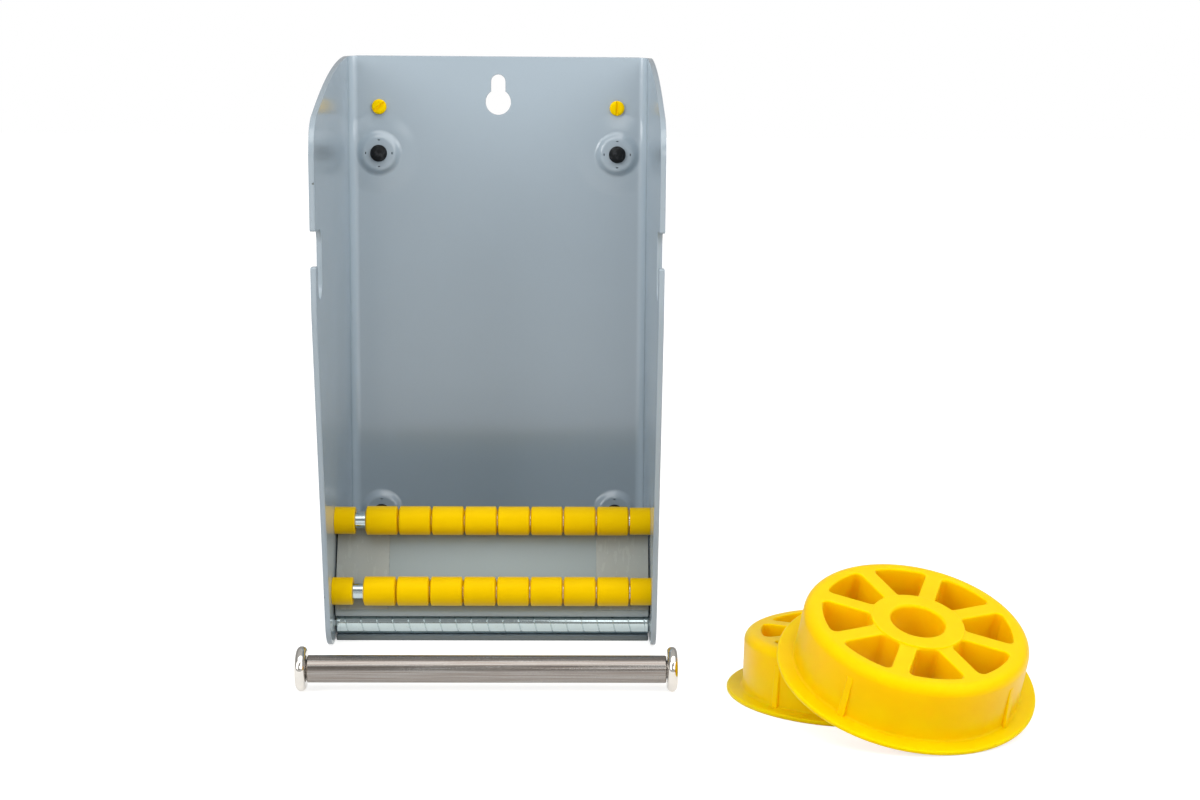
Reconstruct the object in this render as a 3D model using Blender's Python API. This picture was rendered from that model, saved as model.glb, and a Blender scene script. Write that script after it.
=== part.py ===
"""Sheet-steel label dispenser, with its roll spindle and two core hubs lying in front of it.

Units are metres. X runs across the dispenser, the open front faces -Y and Z is up. The origin is
the middle of the bottom plate's underside. A depth is measured forward from the back plate's front
face, and a height from the surface that the dispenser stands on.
"""

import math

import bmesh
import bpy
from mathutils import Matrix, Vector
from mathutils.bvhtree import BVHTree

# Clearances and fineness of curves
GAP = 0.0003
ARC_STEP = math.radians(15)
ARC_SAG = 0.0001
CORNER_STEP = math.radians(30)
ROUND_STEPS = 16
SPINDLE_STEPS = 24
HUB_STEPS = 30

# Folded body: back plate, two side walls and a bottom plate out of one sheet
INNER_WIDTH = 0.120
SHEET = 0.002
BEND_INSIDE = 0.0022
BACK_HEIGHT = 0.2228
WALL_DEPTH = 0.1205
CROWN_DEPTH = 0.0526
CROWN_FALL = 0.0047
CROWN_RADIUS = 0.415
FRONT_FALL = 0.0276
TOP_CORNER_RADIUS = 0.015
BREAK_SETBACK = 0.0033
BREAK_HEIGHT = 0.131
BREAK_RADIUS = 0.060
NOSE_DEPTH = 0.085
NOSE_RADIUS = 0.017
BOTTOM_DEPTH = 0.072
BOTTOM_SLIT = 0.0007

# Spindle slots in the walls: a mouth in the front edge and a pocket behind a lip
SPINDLE_DIAMETER = 0.010
SLOT_PLAY = 0.001
SEAT_SETBACK = 0.0155
SEAT_HEIGHT = 0.1395
LIP_HEIGHT = 0.0067
MOUTH_PLAY = 0.0024
LIP_RADIUS = 0.0025

# Keyhole for a wall hook
KEYHOLE_DROP = 0.0182
KEYHOLE_DIAMETER = 0.0105
KEYHOLE_NECK = 0.0058
KEYHOLE_LENGTH = 0.0081

# Raised dimples in the back plate, each with a push-in rubber foot
FOOT_INSET = 0.0118
FOOT_LOW = 0.0364
FOOT_DROP = 0.0390
FOOT_DIAMETER = 0.0126
FOOT_HOLE = 0.0050
DIMPLE_MARGIN = 0.0009
DIMPLE_SLOPE = 0.0023
DIMPLE_RISE = 0.0018
FOOT_STAND = 0.0045
FOOT_BULB = 0.0068
FOOT_BULB_HEIGHT = 0.0022

# Slotted plugs in the back plate
PLUG_INSET = 0.012
PLUG_DROP = 0.0204
PLUG_HEAD = 0.0060
PLUG_HEAD_HEIGHT = 0.0013
PLUG_SHANK = 0.0040
PLUG_TURNS = {"left": math.radians(40), "right": math.radians(88)}

# Rollers on fixed shafts between the walls
UPPER_ROLLER = (0.0673, 0.0460)
LOWER_ROLLER = (0.0788, 0.0212)
ROLLER_COUNT = 8
ROLLER_DIAMETER = 0.0110
ROLLER_SLACK = 0.0040
ROLLER_CHAMFER_LENGTH = 0.00055
ROLLER_CHAMFER_DEPTH = 0.0014
COLLAR_DIAMETER = 0.0104
COLLAR_LENGTH = 0.0075
COLLAR_CHAMFER = 0.0004
SHAFT_DIAMETER = 0.0060
SHAFT_SCREW_SHANK = 0.0035
SHAFT_SCREW_HEAD = 0.0070
SHAFT_SCREW_LENGTH = 0.0095
SCREW_SLOT_WIDTH = 0.0009
SCREW_SLOT_DEPTH = 0.0007

# Peel rod over the front of the bottom plate, behind the guide plate's nose
ROD_BEHIND = 0.0078
ROD_LIFT = 0.0003
ROD_DIAMETER = 0.0090
ROD_SIDE_PLAY = 0.0010
ROD_JOURNAL = 0.0044
ROD_CHAMFER = 0.0004

# Guide plate behind the rollers, a bent sheet that stands on the bottom plate and has a hemmed nose
GUIDE_SHEET = 0.0012
GUIDE_SIDE_PLAY = 0.0010
GUIDE_WEB_GAP = 0.0010
GUIDE_TOP_REACH = 0.0040
GUIDE_CREST = 0.0072
GUIDE_NOSE_HEIGHT = 0.0116
GUIDE_HEM = 0.0060
GUIDE_FOOT = 0.0145
GUIDE_BEND = 0.0017
STRIP_WIDTH = 0.0200
STRIP_THICKNESS = 0.0004
STRIP_END = 0.0004
RIVET_INSET = 0.025
RIVET_SHANK = 0.0032
RIVET_FLARE = 0.0052
RIVET_SINK = 0.0014
RIVET_HEAD = 0.0060
RIVET_HEAD_HEIGHT = 0.0015

# Roll spindle, taken out and lying in front
SPINDLE_PLAY = 0.0015
SPINDLE_AWAY = 0.0183
SPINDLE_SHIFT = 0.0004
CAP_DIAMETER = 0.0157
CAP_THICKNESS = 0.0036
CAP_GROOVE = 0.0006
CAP_TENON = 0.0060
CAP_TENON_LENGTH = 0.0024

# Core hubs, one flat on the floor and one leaning on it
HUB_BODY = 0.0756
HUB_FLANGE = 0.0868
HUB_FLANGE_THICKNESS = 0.0017
HUB_HEIGHT = 0.0214
HUB_DRAFT = 0.0004
HUB_RIM_RADIUS = 0.0036
HUB_WALL = 0.0020
HUB_WEB = 0.0128
HUB_BORE = 0.0180
HUB_BORE_CHAMFER = 0.0008
HUB_BOSS = 0.0314
HUB_BOSS_STEP = 0.0004
HUB_WINDOW_OUTER = 0.0632
HUB_SPOKES = 8
HUB_SPOKE_WIDTH = 0.0057
HUB_WINDOW_RADIUS = 0.0019
HUB_RIBS = 4
HUB_RIB_WIDTH = 0.0024
HUB_RIB_PROUD = 0.0014
HUB_RIB_TOP = 0.0160
REAR_HUB_ASIDE = 0.0657
REAR_HUB_TURN = math.radians(17.8)
FRONT_HUB_OFFSET = (0.0132, 0.0328)
FRONT_HUB_TURN = math.radians(26.5)
FRONT_HUB_HEADING = math.radians(-70.8)

# Worked out from the sizes above
HALF_INNER = INNER_WIDTH / 2
HALF_OUTER = HALF_INNER + SHEET
BACK_FACE_Y = BOTTOM_DEPTH / 2
SLOT_WIDTH = SPINDLE_DIAMETER + SLOT_PLAY
SEAT_DEPTH = WALL_DEPTH - SEAT_SETBACK
MOUTH_BOTTOM = SEAT_HEIGHT + LIP_HEIGHT
KEYHOLE_HEIGHT = BACK_HEIGHT - KEYHOLE_DROP
PLUG_HEIGHT = BACK_HEIGHT - PLUG_DROP
DIMPLE_TOP = FOOT_DIAMETER / 2 + DIMPLE_MARGIN
ROLLER_BAY = INNER_WIDTH - 2 * (GAP + COLLAR_LENGTH)
ROLLER_LENGTH = (ROLLER_BAY - ROLLER_SLACK) / ROLLER_COUNT - GAP
SPINDLE_DEPTH = WALL_DEPTH + SPINDLE_AWAY
CAP_FACE = HALF_OUTER + SPINDLE_PLAY / 2
SIDES = {"left": -1, "right": 1}


def place(x, depth, height):
    """World point at a distance across, forward of the back plate's front face and up."""
    return Vector((x, BACK_FACE_Y - depth, height))


def material(name, colour, roughness, metallic):
    """Principled material with one colour."""
    made = bpy.data.materials.new(name)
    made.use_nodes = True
    shader = made.node_tree.nodes["Principled BSDF"]
    shader.inputs["Base Color"].default_value = (*colour, 1.0)
    shader.inputs["Roughness"].default_value = roughness
    shader.inputs["Metallic"].default_value = metallic
    return made


def rounded(corners, arc_step=ARC_STEP):
    """Closed outline through (u, v, radius) corners, with each corner of a radius turned into an arc."""
    outline = []
    for index, (u, v, radius) in enumerate(corners):
        here = Vector((u, v))
        if radius <= 0:
            outline.append(here)
            continue
        back = (Vector(corners[index - 1][:2]) - here).normalized()
        onward = (Vector(corners[(index + 1) % len(corners)][:2]) - here).normalized()
        opening = back.angle(onward)
        reach = radius / math.tan(opening / 2)
        centre = here + (back + onward).normalized() * radius / math.sin(opening / 2)
        start = here + back * reach - centre
        turn = math.pi - opening
        if back.cross(onward) > 0:
            turn = -turn
        finest = min(arc_step, math.sqrt(8 * ARC_SAG / radius))
        steps = max(2, math.ceil(abs(turn) / finest))
        outline += [centre + Matrix.Rotation(turn * i / steps, 2) @ start for i in range(steps + 1)]
    return outline


def finished(name, mesh_source, finish=None, location=(0, 0, 0)):
    """Object from a bmesh or a mesh, shaded smooth between its sharp edges."""
    mesh = mesh_source
    if isinstance(mesh_source, bmesh.types.BMesh):
        mesh = bpy.data.meshes.new(name)
        mesh_source.to_mesh(mesh)
        mesh_source.free()
        mesh.shade_smooth()
        mesh.set_sharp_from_angle(angle=math.radians(35))
    made = bpy.data.objects.new(name, mesh)
    bpy.context.scene.collection.objects.link(made)
    made.location = location
    if finish and not mesh.materials:
        mesh.materials.append(finish)
    return made


def extruded(points, step):
    """Closed bmesh made by pushing a flat outline along a vector."""
    shape = bmesh.new()
    face = shape.faces.new([shape.verts.new(point) for point in points])
    pushed = bmesh.ops.extrude_face_region(shape, geom=[face])["geom"]
    moved = [item for item in pushed if isinstance(item, bmesh.types.BMVert)]
    bmesh.ops.translate(shape, verts=moved, vec=step)
    bmesh.ops.recalc_face_normals(shape, faces=shape.faces)
    return shape


def turned(profile, steps=ROUND_STEPS, axis="Z"):
    """Closed bmesh of revolution about an axis, from a profile of (radius, place along the axis)."""
    shape = bmesh.new()
    points = [shape.verts.new((radius, 0, along)) for radius, along in profile]
    edges = [shape.edges.new(pair) for pair in zip(points, points[1:])]
    if profile[0][0] > 0:
        edges.append(shape.edges.new((points[-1], points[0])))
    bmesh.ops.spin(
        shape, geom=points + edges, cent=(0, 0, 0), axis=(0, 0, 1), angle=2 * math.pi, steps=steps
    )
    bmesh.ops.remove_doubles(shape, verts=shape.verts, dist=1e-7)
    bmesh.ops.recalc_face_normals(shape, faces=shape.faces)
    lay = {"X": Matrix.Rotation(math.pi / 2, 4, "Y"), "Y": Matrix.Rotation(math.pi / 2, 4, "X")}
    bmesh.ops.transform(shape, matrix=lay.get(axis, Matrix()), verts=shape.verts)
    return shape


def mirrored(shape, sign):
    """Turns a bmesh about the X axis round to point the other way along X when the sign is -1."""
    bmesh.ops.scale(shape, vec=(sign, 1, 1), verts=shape.verts)
    bmesh.ops.recalc_face_normals(shape, faces=shape.faces)
    return shape


def gathered(shapes):
    """One bmesh of several separate solids, given as pairs of a bmesh and its place."""
    joined = bmesh.new()
    for shape, spot in shapes:
        bmesh.ops.translate(shape, verts=shape.verts, vec=spot)
        mesh = bpy.data.meshes.new("gathered")
        shape.to_mesh(mesh)
        shape.free()
        joined.from_mesh(mesh)
        bpy.data.meshes.remove(mesh)
    return joined


def boolean(target, shape, operation="DIFFERENCE", location=(0, 0, 0)):
    """Cuts a bmesh out of an object, or joins it on, by a Boolean with a hidden tool."""
    tool = finished(f"{target.name}_tool", shape, location=location)
    tool.hide_render = True
    tool.display_type = "WIRE"
    modifier = target.modifiers.new(operation.title(), "BOOLEAN")
    modifier.operation = operation
    modifier.solver = "EXACT"
    modifier.object = tool
    return tool


def side_prism(outline, low, high):
    """Solid with a side-view outline of (depth, height), from one place across to another."""
    points = [place(low, depth, height) for depth, height in outline]
    return extruded(points, Vector((high - low, 0, 0)))


def plan_prism(outline, low, high):
    """Solid with a plan outline of (x, depth), from one height to another."""
    points = [place(x, depth, low) for x, depth in outline]
    return extruded(points, Vector((0, 0, high - low)))


def front_prism(outline, near, far):
    """Solid with a front-view outline of (x, height), from one depth back to another."""
    points = [place(x, near, height) for x, height in outline]
    return extruded(points, Vector((0, near - far, 0)))


def wall_outline():
    """Side view of the walls: crowned top edge, round front corner, edge sloping back to a round nose."""
    crown = BACK_HEIGHT - CROWN_FALL
    return rounded([
        (-SHEET, 0, BEND_INSIDE + SHEET),
        (NOSE_DEPTH, 0, NOSE_RADIUS),
        (WALL_DEPTH - BREAK_SETBACK, BREAK_HEIGHT, BREAK_RADIUS),
        (WALL_DEPTH, BACK_HEIGHT - FRONT_FALL, TOP_CORNER_RADIUS),
        (CROWN_DEPTH, crown, CROWN_RADIUS),
        (-SHEET, BACK_HEIGHT, 0),
    ])


def channel_outline(half_width, back_depth, corner):
    """Plan of a channel that is open to the front, with two round back corners."""
    front = 2 * WALL_DEPTH
    return rounded([
        (-half_width, back_depth, corner),
        (half_width, back_depth, corner),
        (half_width, front, 0),
        (-half_width, front, 0),
    ])


def slot_outline():
    """Side view of a spindle slot: in at the mouth, back over the lip and down into the pocket."""
    rear = SEAT_DEPTH - SLOT_WIDTH / 2
    front = SEAT_DEPTH + SLOT_WIDTH / 2
    low = SEAT_HEIGHT - SLOT_WIDTH / 2
    pocket_radius = SLOT_WIDTH / 2 * 0.999
    out = WALL_DEPTH + SLOT_WIDTH
    top = MOUTH_BOTTOM + SPINDLE_DIAMETER + MOUTH_PLAY
    return rounded([
        (out, MOUTH_BOTTOM, 0),
        (front, MOUTH_BOTTOM, LIP_RADIUS),
        (front, low, pocket_radius),
        (rear, low, pocket_radius),
        (rear, top, SLOT_WIDTH / 2),
        (out, top, 0),
    ])


def keyhole_outline():
    """Front view of the keyhole: a round hole with a neck up from it."""
    radius = KEYHOLE_DIAMETER / 2
    half_neck = KEYHOLE_NECK / 2
    start = math.asin(half_neck / radius)
    sweep = 2 * (math.pi - start)
    steps = math.ceil(sweep / ARC_STEP)
    angles = [start + sweep * i / steps for i in range(steps + 1)]
    outline = [(radius * math.sin(a), KEYHOLE_HEIGHT + radius * math.cos(a)) for a in angles]
    neck_top = KEYHOLE_HEIGHT + KEYHOLE_LENGTH
    neck_steps = math.ceil(math.pi / ARC_STEP)
    bends = [math.pi * (1 - i / neck_steps) for i in range(neck_steps + 1)]
    return outline + [(half_neck * math.cos(a), neck_top + half_neck * math.sin(a)) for a in bends]


def screw_profile(clearance=0.0):
    """Countersunk shaft screw, from the middle of its head inward, grown by a clearance."""
    shank = SHAFT_SCREW_SHANK / 2 + clearance
    head = SHAFT_SCREW_HEAD / 2 + clearance
    rim = GAP
    return [
        (0, -clearance),
        (head, -clearance),
        (head, rim),
        (shank, rim + head - shank),
        (shank, SHAFT_SCREW_LENGTH),
        (0, SHAFT_SCREW_LENGTH),
    ]


def rivet_places():
    """Plan places of the two rivets through the guide plate's foot."""
    depth = guide_path()["heel"].x - GUIDE_FOOT / 2
    return {side: (sign * (HALF_INNER - RIVET_INSET), depth) for side, sign in SIDES.items()}


def foot_places():
    """Front-view places of the four feet."""
    rows = {"upper": BACK_HEIGHT - FOOT_DROP, "lower": FOOT_LOW}
    return {
        f"{row}_{side}": (sign * (HALF_INNER - FOOT_INSET), height)
        for row, height in rows.items()
        for side, sign in SIDES.items()
    }


def pierced(radius, axis):
    """Plain cutter for a round hole through the sheet, about the origin."""
    return turned([(0, -SHEET), (radius, -SHEET), (radius, SHEET), (0, SHEET)], axis=axis)


def dimple_shapes():
    """What a dimple adds in front of the back plate, and what it takes away behind."""
    top = DIMPLE_TOP
    base = top + DIMPLE_SLOPE
    raised = [
        (0, -SHEET / 2),
        (base, -SHEET / 2),
        (base, -GAP),
        (base - DIMPLE_SLOPE * 0.30, DIMPLE_RISE * 0.20),
        (base - DIMPLE_SLOPE * 0.75, DIMPLE_RISE * 0.85),
        (top, DIMPLE_RISE),
        (0, DIMPLE_RISE),
    ]
    floor = DIMPLE_RISE - SHEET
    hollow = [
        (0, -2 * SHEET),
        (base - SHEET / 3, -2 * SHEET),
        (base - SHEET / 3, -SHEET - GAP),
        (top - SHEET / 5, floor),
        (0, floor),
    ]
    return turned(raised, axis="Y"), turned(hollow, axis="Y")


def bottom_slits():
    """Cutters that part the bottom plate from the walls on both sides."""
    start = BEND_INSIDE
    stop = BOTTOM_DEPTH + SHEET
    slits = []
    for sign in SIDES.values():
        wall = sign * HALF_INNER
        edge = sign * (HALF_INNER - BOTTOM_SLIT)
        corners = [(wall, start), (edge, start), (edge, stop), (wall, stop)]
        slits.append((plan_prism(corners, -SHEET, SHEET + GAP), (0, 0, 0)))
    return slits


def body_holes():
    """Cutters for the round holes: shaft screws, rod journals, plugs, feet and rivets."""
    holes = []
    for sign in SIDES.values():
        for axis in (UPPER_ROLLER, LOWER_ROLLER):
            bore = mirrored(turned(screw_profile(GAP), axis="X"), -sign)
            holes.append((bore, place(sign * HALF_OUTER, *axis)))
        journal = pierced(ROD_JOURNAL / 2 + GAP, "X")
        holes.append((journal, place(sign * (HALF_INNER + SHEET / 2), *rod_axis())))
        plug = pierced(PLUG_SHANK / 2 + GAP, "Y")
        holes.append((plug, place(sign * (HALF_INNER - PLUG_INSET), -SHEET / 2, PLUG_HEIGHT)))
    for x, height in foot_places().values():
        middle = DIMPLE_RISE - SHEET / 2
        holes.append((pierced(FOOT_HOLE / 2, "Y"), place(x, middle, height)))
    shank = RIVET_SHANK / 2 + GAP
    sink = [
        (0, -GAP),
        (RIVET_FLARE / 2 + 2 * GAP, -GAP),
        (shank, RIVET_SINK + GAP),
        (shank, 2 * SHEET),
        (0, 2 * SHEET),
    ]
    holes += [(turned(sink), place(x, depth, 0)) for x, depth in rivet_places().values()]
    return holes


def build_body(finish):
    """Folded sheet body with its slots, keyhole, dimples and holes."""
    beyond = 2 * HALF_OUTER
    body = finished("body_shell", side_prism(wall_outline(), -beyond, beyond), finish)
    outer = channel_outline(HALF_OUTER, -SHEET, BEND_INSIDE + SHEET)
    boolean(body, plan_prism(outer, -BACK_HEIGHT, 2 * BACK_HEIGHT), "INTERSECT")

    above = 2 * BACK_HEIGHT
    bay = rounded([
        (0, above, 0),
        (0, SHEET, BEND_INSIDE),
        (BOTTOM_DEPTH, SHEET, 0),
        (BOTTOM_DEPTH, -SHEET, 0),
        (2 * WALL_DEPTH, -SHEET, 0),
        (2 * WALL_DEPTH, above, 0),
    ])
    room = boolean(body, side_prism(bay, -beyond, beyond))
    inner = channel_outline(HALF_INNER, 0, BEND_INSIDE)
    boolean(room, plan_prism(inner, -BACK_HEIGHT, 3 * BACK_HEIGHT), "INTERSECT")

    spots = [place(x, 0, height) for x, height in foot_places().values()]
    boolean(body, gathered([(dimple_shapes()[0], spot) for spot in spots]), "UNION")
    boolean(body, gathered([(dimple_shapes()[1], spot) for spot in spots]))
    boolean(body, gathered(bottom_slits()))
    boolean(body, side_prism(slot_outline(), -beyond, beyond))
    boolean(body, front_prism(keyhole_outline(), SHEET, -2 * SHEET))
    boolean(body, gathered(body_holes()))


def build_feet(finish):
    """Push-in rubber feet: a pad behind the back plate, a stem and a bulb in front."""
    seat = DIMPLE_RISE - SHEET - GAP
    front = DIMPLE_RISE + GAP
    end = -SHEET - FOOT_STAND
    pad = FOOT_DIAMETER / 2
    stem = FOOT_HOLE / 2 - GAP
    bulb = FOOT_BULB / 2
    edge = FOOT_STAND / 5
    profile = [
        (0, end),
        (pad - 2 * edge, end),
        (pad - edge, end + edge),
        (pad, seat),
        (stem, seat),
        (stem, front),
        (bulb, front),
        (bulb, front + FOOT_BULB_HEIGHT * 0.3),
        (bulb * 0.82, front + FOOT_BULB_HEIGHT * 0.72),
        (bulb * 0.45, front + FOOT_BULB_HEIGHT * 0.95),
        (0, front + FOOT_BULB_HEIGHT),
    ]
    for name, (x, height) in foot_places().items():
        finished(f"foot_{name}", turned(profile, axis="Y"), finish, place(x, 0, height))


def build_plugs(finish):
    """Slotted plugs that close the two small holes in the back plate."""
    head = PLUG_HEAD / 2
    shank = PLUG_SHANK / 2
    tail = -SHEET - GAP
    profile = [
        (0, tail - PLUG_HEAD_HEIGHT),
        (shank * 0.7, tail - PLUG_HEAD_HEIGHT),
        (shank * 1.3, tail),
        (shank, tail),
        (shank, GAP),
        (head, GAP),
        (head, GAP + PLUG_HEAD_HEIGHT * 0.5),
        (head * 0.8, GAP + PLUG_HEAD_HEIGHT * 0.9),
        (0, GAP + PLUG_HEAD_HEIGHT),
    ]
    for side, sign in SIDES.items():
        spot = place(sign * (HALF_INNER - PLUG_INSET), 0, PLUG_HEIGHT)
        plug = finished(f"plug_{side}", turned(profile, axis="Y"), finish, spot)
        slot = bmesh.new()
        size = (PLUG_HEAD * 2, 2 * SCREW_SLOT_DEPTH, SCREW_SLOT_WIDTH)
        bmesh.ops.create_cube(slot, matrix=Matrix.Diagonal((*size, 1)))
        bmesh.ops.rotate(slot, matrix=Matrix.Rotation(-PLUG_TURNS[side], 3, "Y"), verts=slot.verts)
        boolean(plug, slot, location=spot + Vector((0, -GAP - PLUG_HEAD_HEIGHT, 0)))


def shaft_profile(length):
    """Roller shaft with a blind screw hole in each end."""
    radius = SHAFT_DIAMETER / 2
    bore = SHAFT_SCREW_SHANK / 2 + GAP
    half = length / 2
    bottom = half - SHAFT_SCREW_LENGTH
    chamfer = radius / 10
    end = [(0, bottom), (bore, bottom), (bore, half), (radius - chamfer, half), (radius, half - chamfer)]
    return end + [(r, -along) for r, along in reversed(end)]


def build_roller_row(row, axis, steel, yellow):
    """Shaft, two fixed end collars, two screws and a row of loose rollers that turn on the shaft."""
    finished(f"{row}_shaft", turned(shaft_profile(INNER_WIDTH - 2 * GAP), axis="X"), steel, place(0, *axis))
    bore = SHAFT_DIAMETER / 2 + GAP
    collar = COLLAR_DIAMETER / 2
    half = COLLAR_LENGTH / 2
    ring = [
        (bore, half),
        (collar, half),
        (collar, -half + COLLAR_CHAMFER),
        (collar - COLLAR_CHAMFER, -half),
        (bore, -half),
    ]
    for side, sign in SIDES.items():
        spot = sign * (HALF_INNER - GAP - half)
        finished(f"{row}_collar_{side}", mirrored(turned(ring, axis="X"), sign), yellow, place(spot, *axis))
        shape = mirrored(turned(screw_profile(), axis="X"), -sign)
        head = place(sign * HALF_OUTER, *axis)
        screw = finished(f"{row}_screw_{side}", shape, steel, head)
        slot = bmesh.new()
        size = (2 * SCREW_SLOT_DEPTH, 2 * SHAFT_SCREW_HEAD, SCREW_SLOT_WIDTH)
        bmesh.ops.create_cube(slot, matrix=Matrix.Diagonal((*size, 1)))
        boolean(screw, slot, location=head)

    radius = ROLLER_DIAMETER / 2
    reach = ROLLER_LENGTH / 2
    drum = [
        (bore, reach),
        (radius - ROLLER_CHAMFER_DEPTH, reach),
        (radius, reach - ROLLER_CHAMFER_LENGTH),
        (radius, -reach + ROLLER_CHAMFER_LENGTH),
        (radius - ROLLER_CHAMFER_DEPTH, -reach),
        (bore, -reach),
    ]
    last = HALF_INNER - GAP - COLLAR_LENGTH - GAP - reach
    for number in range(1, ROLLER_COUNT + 1):
        spot = last - (ROLLER_COUNT - number) * (ROLLER_LENGTH + GAP)
        finished(f"{row}_{number}", turned(drum, axis="X"), yellow, place(spot, *axis))


def build_peel_rod(finish):
    """Peel rod that turns in the walls on a journal at each end."""
    radius = ROD_DIAMETER / 2
    journal = ROD_JOURNAL / 2
    shoulder = HALF_INNER - ROD_SIDE_PLAY
    end = [
        (0, HALF_OUTER - GAP),
        (journal, HALF_OUTER - GAP),
        (journal, shoulder),
        (radius - ROD_CHAMFER, shoulder),
        (radius, shoulder - ROD_CHAMFER),
    ]
    profile = end + [(r, -along) for r, along in reversed(end)]
    finished("peel_rod", turned(profile, axis="X"), finish, place(0, *rod_axis()))


def guide_path():
    """Side-view corners of the guide plate's outer face, from its foot over the crest to the nose's hem."""
    upper = Vector(UPPER_ROLLER)
    down = (Vector(LOWER_ROLLER) - upper).normalized()
    back = Vector((down.y, -down.x))
    level = upper + back * (ROLLER_DIAMETER / 2 + GUIDE_WEB_GAP)
    top = level - down * GUIDE_TOP_REACH
    nose = level + down * (level.y - GUIDE_NOSE_HEIGHT) / -down.y
    fold = nose + back * (2 * GUIDE_BEND + GAP)
    heel = Vector((top.x - GUIDE_CREST, SHEET + GAP + GUIDE_SHEET))
    return {
        "toe": heel - Vector((GUIDE_FOOT, 0)),
        "heel": heel,
        "crest": Vector((heel.x, top.y)),
        "top": top,
        "nose": nose,
        "fold": fold,
        "hem": fold - down * GUIDE_HEM,
    }


def rod_axis():
    """Depth and height of the peel rod's axis."""
    return guide_path()["nose"].x - ROD_BEHIND, SHEET + ROD_LIFT + ROD_DIAMETER / 2


def strip_of_sheet(path, thickness, bend):
    """Outline of a bent sheet whose outer face follows a path, with its thickness on the right-hand side."""
    corners = list(path)
    inside = []
    for index, corner in enumerate(corners):
        before = (corner - corners[index - 1]).normalized() if index else None
        after = (corners[index + 1] - corner).normalized() if index + 1 < len(corners) else None
        legs = [leg for leg in (before, after) if leg]
        normals = [Vector((leg.y, -leg.x)) for leg in legs]
        middle = sum(normals, Vector((0, 0))).normalized()
        inside.append(corner + middle * thickness / middle.dot(normals[0]))
    outline = []
    for line in (corners, inside[::-1]):
        for index, corner in enumerate(line):
            inner_end = 0 < index < len(line) - 1
            legs = (corner - line[index - 1], line[(index + 1) % len(line)] - corner)
            outward = legs[0].cross(legs[1]) < 0
            radius = bend if outward else bend - thickness
            outline.append((corner.x, corner.y, max(radius, thickness / 4) if inner_end else 0))
    return rounded(outline)


def build_guide(paint, tape, steel):
    """Guide plate with a tape strip along each side and two rivets through its foot."""
    half = HALF_INNER - GUIDE_SIDE_PLAY
    path = guide_path()
    outline = strip_of_sheet(path.values(), GUIDE_SHEET, GUIDE_BEND)
    plate = finished("guide_plate", side_prism(outline, -half, half), paint)
    for x, depth in rivet_places().values():
        radius = RIVET_SHANK / 2 + GAP
        hole = [(0, 0), (radius, 0), (radius, 4 * SHEET), (0, 4 * SHEET)]
        boolean(plate, turned(hole), location=place(x, depth, 0))
    for side, spot in rivet_places().items():
        finished(f"guide_rivet_{side}", turned(rivet_profile()), steel, place(*spot, 0))

    down = (path["nose"] - path["top"]).normalized()
    forward = Vector((-down.y, down.x))
    near = forward * GAP
    far = forward * (GAP + STRIP_THICKNESS)
    first = path["top"] + down * GUIDE_BEND
    final = path["nose"] - down * (GUIDE_BEND + STRIP_END)
    ribbon = [first + near, final + near, final + far, first + far]
    for side, sign in SIDES.items():
        outer_edge = sign * half
        finished(f"guide_strip_{side}", side_prism(ribbon, outer_edge, outer_edge - sign * STRIP_WIDTH), tape)


def rivet_profile():
    """Rivet from its flush countersunk end up to its domed head."""
    shank = RIVET_SHANK / 2
    neck = SHEET + GAP + GUIDE_SHEET + GAP
    head = RIVET_HEAD / 2
    return [
        (0, GAP / 2),
        (RIVET_FLARE / 2, GAP / 2),
        (shank, RIVET_SINK),
        (shank, neck),
        (head, neck),
        (head * 0.8, neck + RIVET_HEAD_HEIGHT * 0.65),
        (0, neck + RIVET_HEAD_HEIGHT),
    ]


def build_spindle(steel, nickel):
    """Spindle rod with a tenon at each end, and the two round caps on the tenons."""
    centre = place(SPINDLE_SHIFT, SPINDLE_DEPTH, CAP_DIAMETER / 2)
    radius = SPINDLE_DIAMETER / 2
    tenon = CAP_TENON / 2
    shoulder = CAP_FACE - CAP_GROOVE
    tip = CAP_FACE + CAP_TENON_LENGTH - GAP
    chamfer = radius / 12
    end = [
        (0, tip),
        (tenon, tip),
        (tenon, shoulder),
        (radius - chamfer, shoulder),
        (radius, shoulder - chamfer),
    ]
    profile = end + [(r, -along) for r, along in reversed(end)]
    finished("spindle_rod", turned(profile, SPINDLE_STEPS, "X"), steel, centre)

    rim = CAP_DIAMETER / 2
    half = CAP_THICKNESS / 2
    nose = [
        (rim - half * (1 - math.sin(a)), half - half * math.cos(a))
        for a in (math.pi * i / 5 for i in range(6))
    ]
    bore = tenon + GAP
    cap = [(0, CAP_TENON_LENGTH), (bore, CAP_TENON_LENGTH), (bore, 0)] + nose + [(0, CAP_THICKNESS)]
    for side, sign in SIDES.items():
        shape = mirrored(turned(cap, SPINDLE_STEPS, "X"), sign)
        finished(f"spindle_cap_{side}", shape, nickel, centre + Vector((sign * CAP_FACE, 0, 0)))


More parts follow.
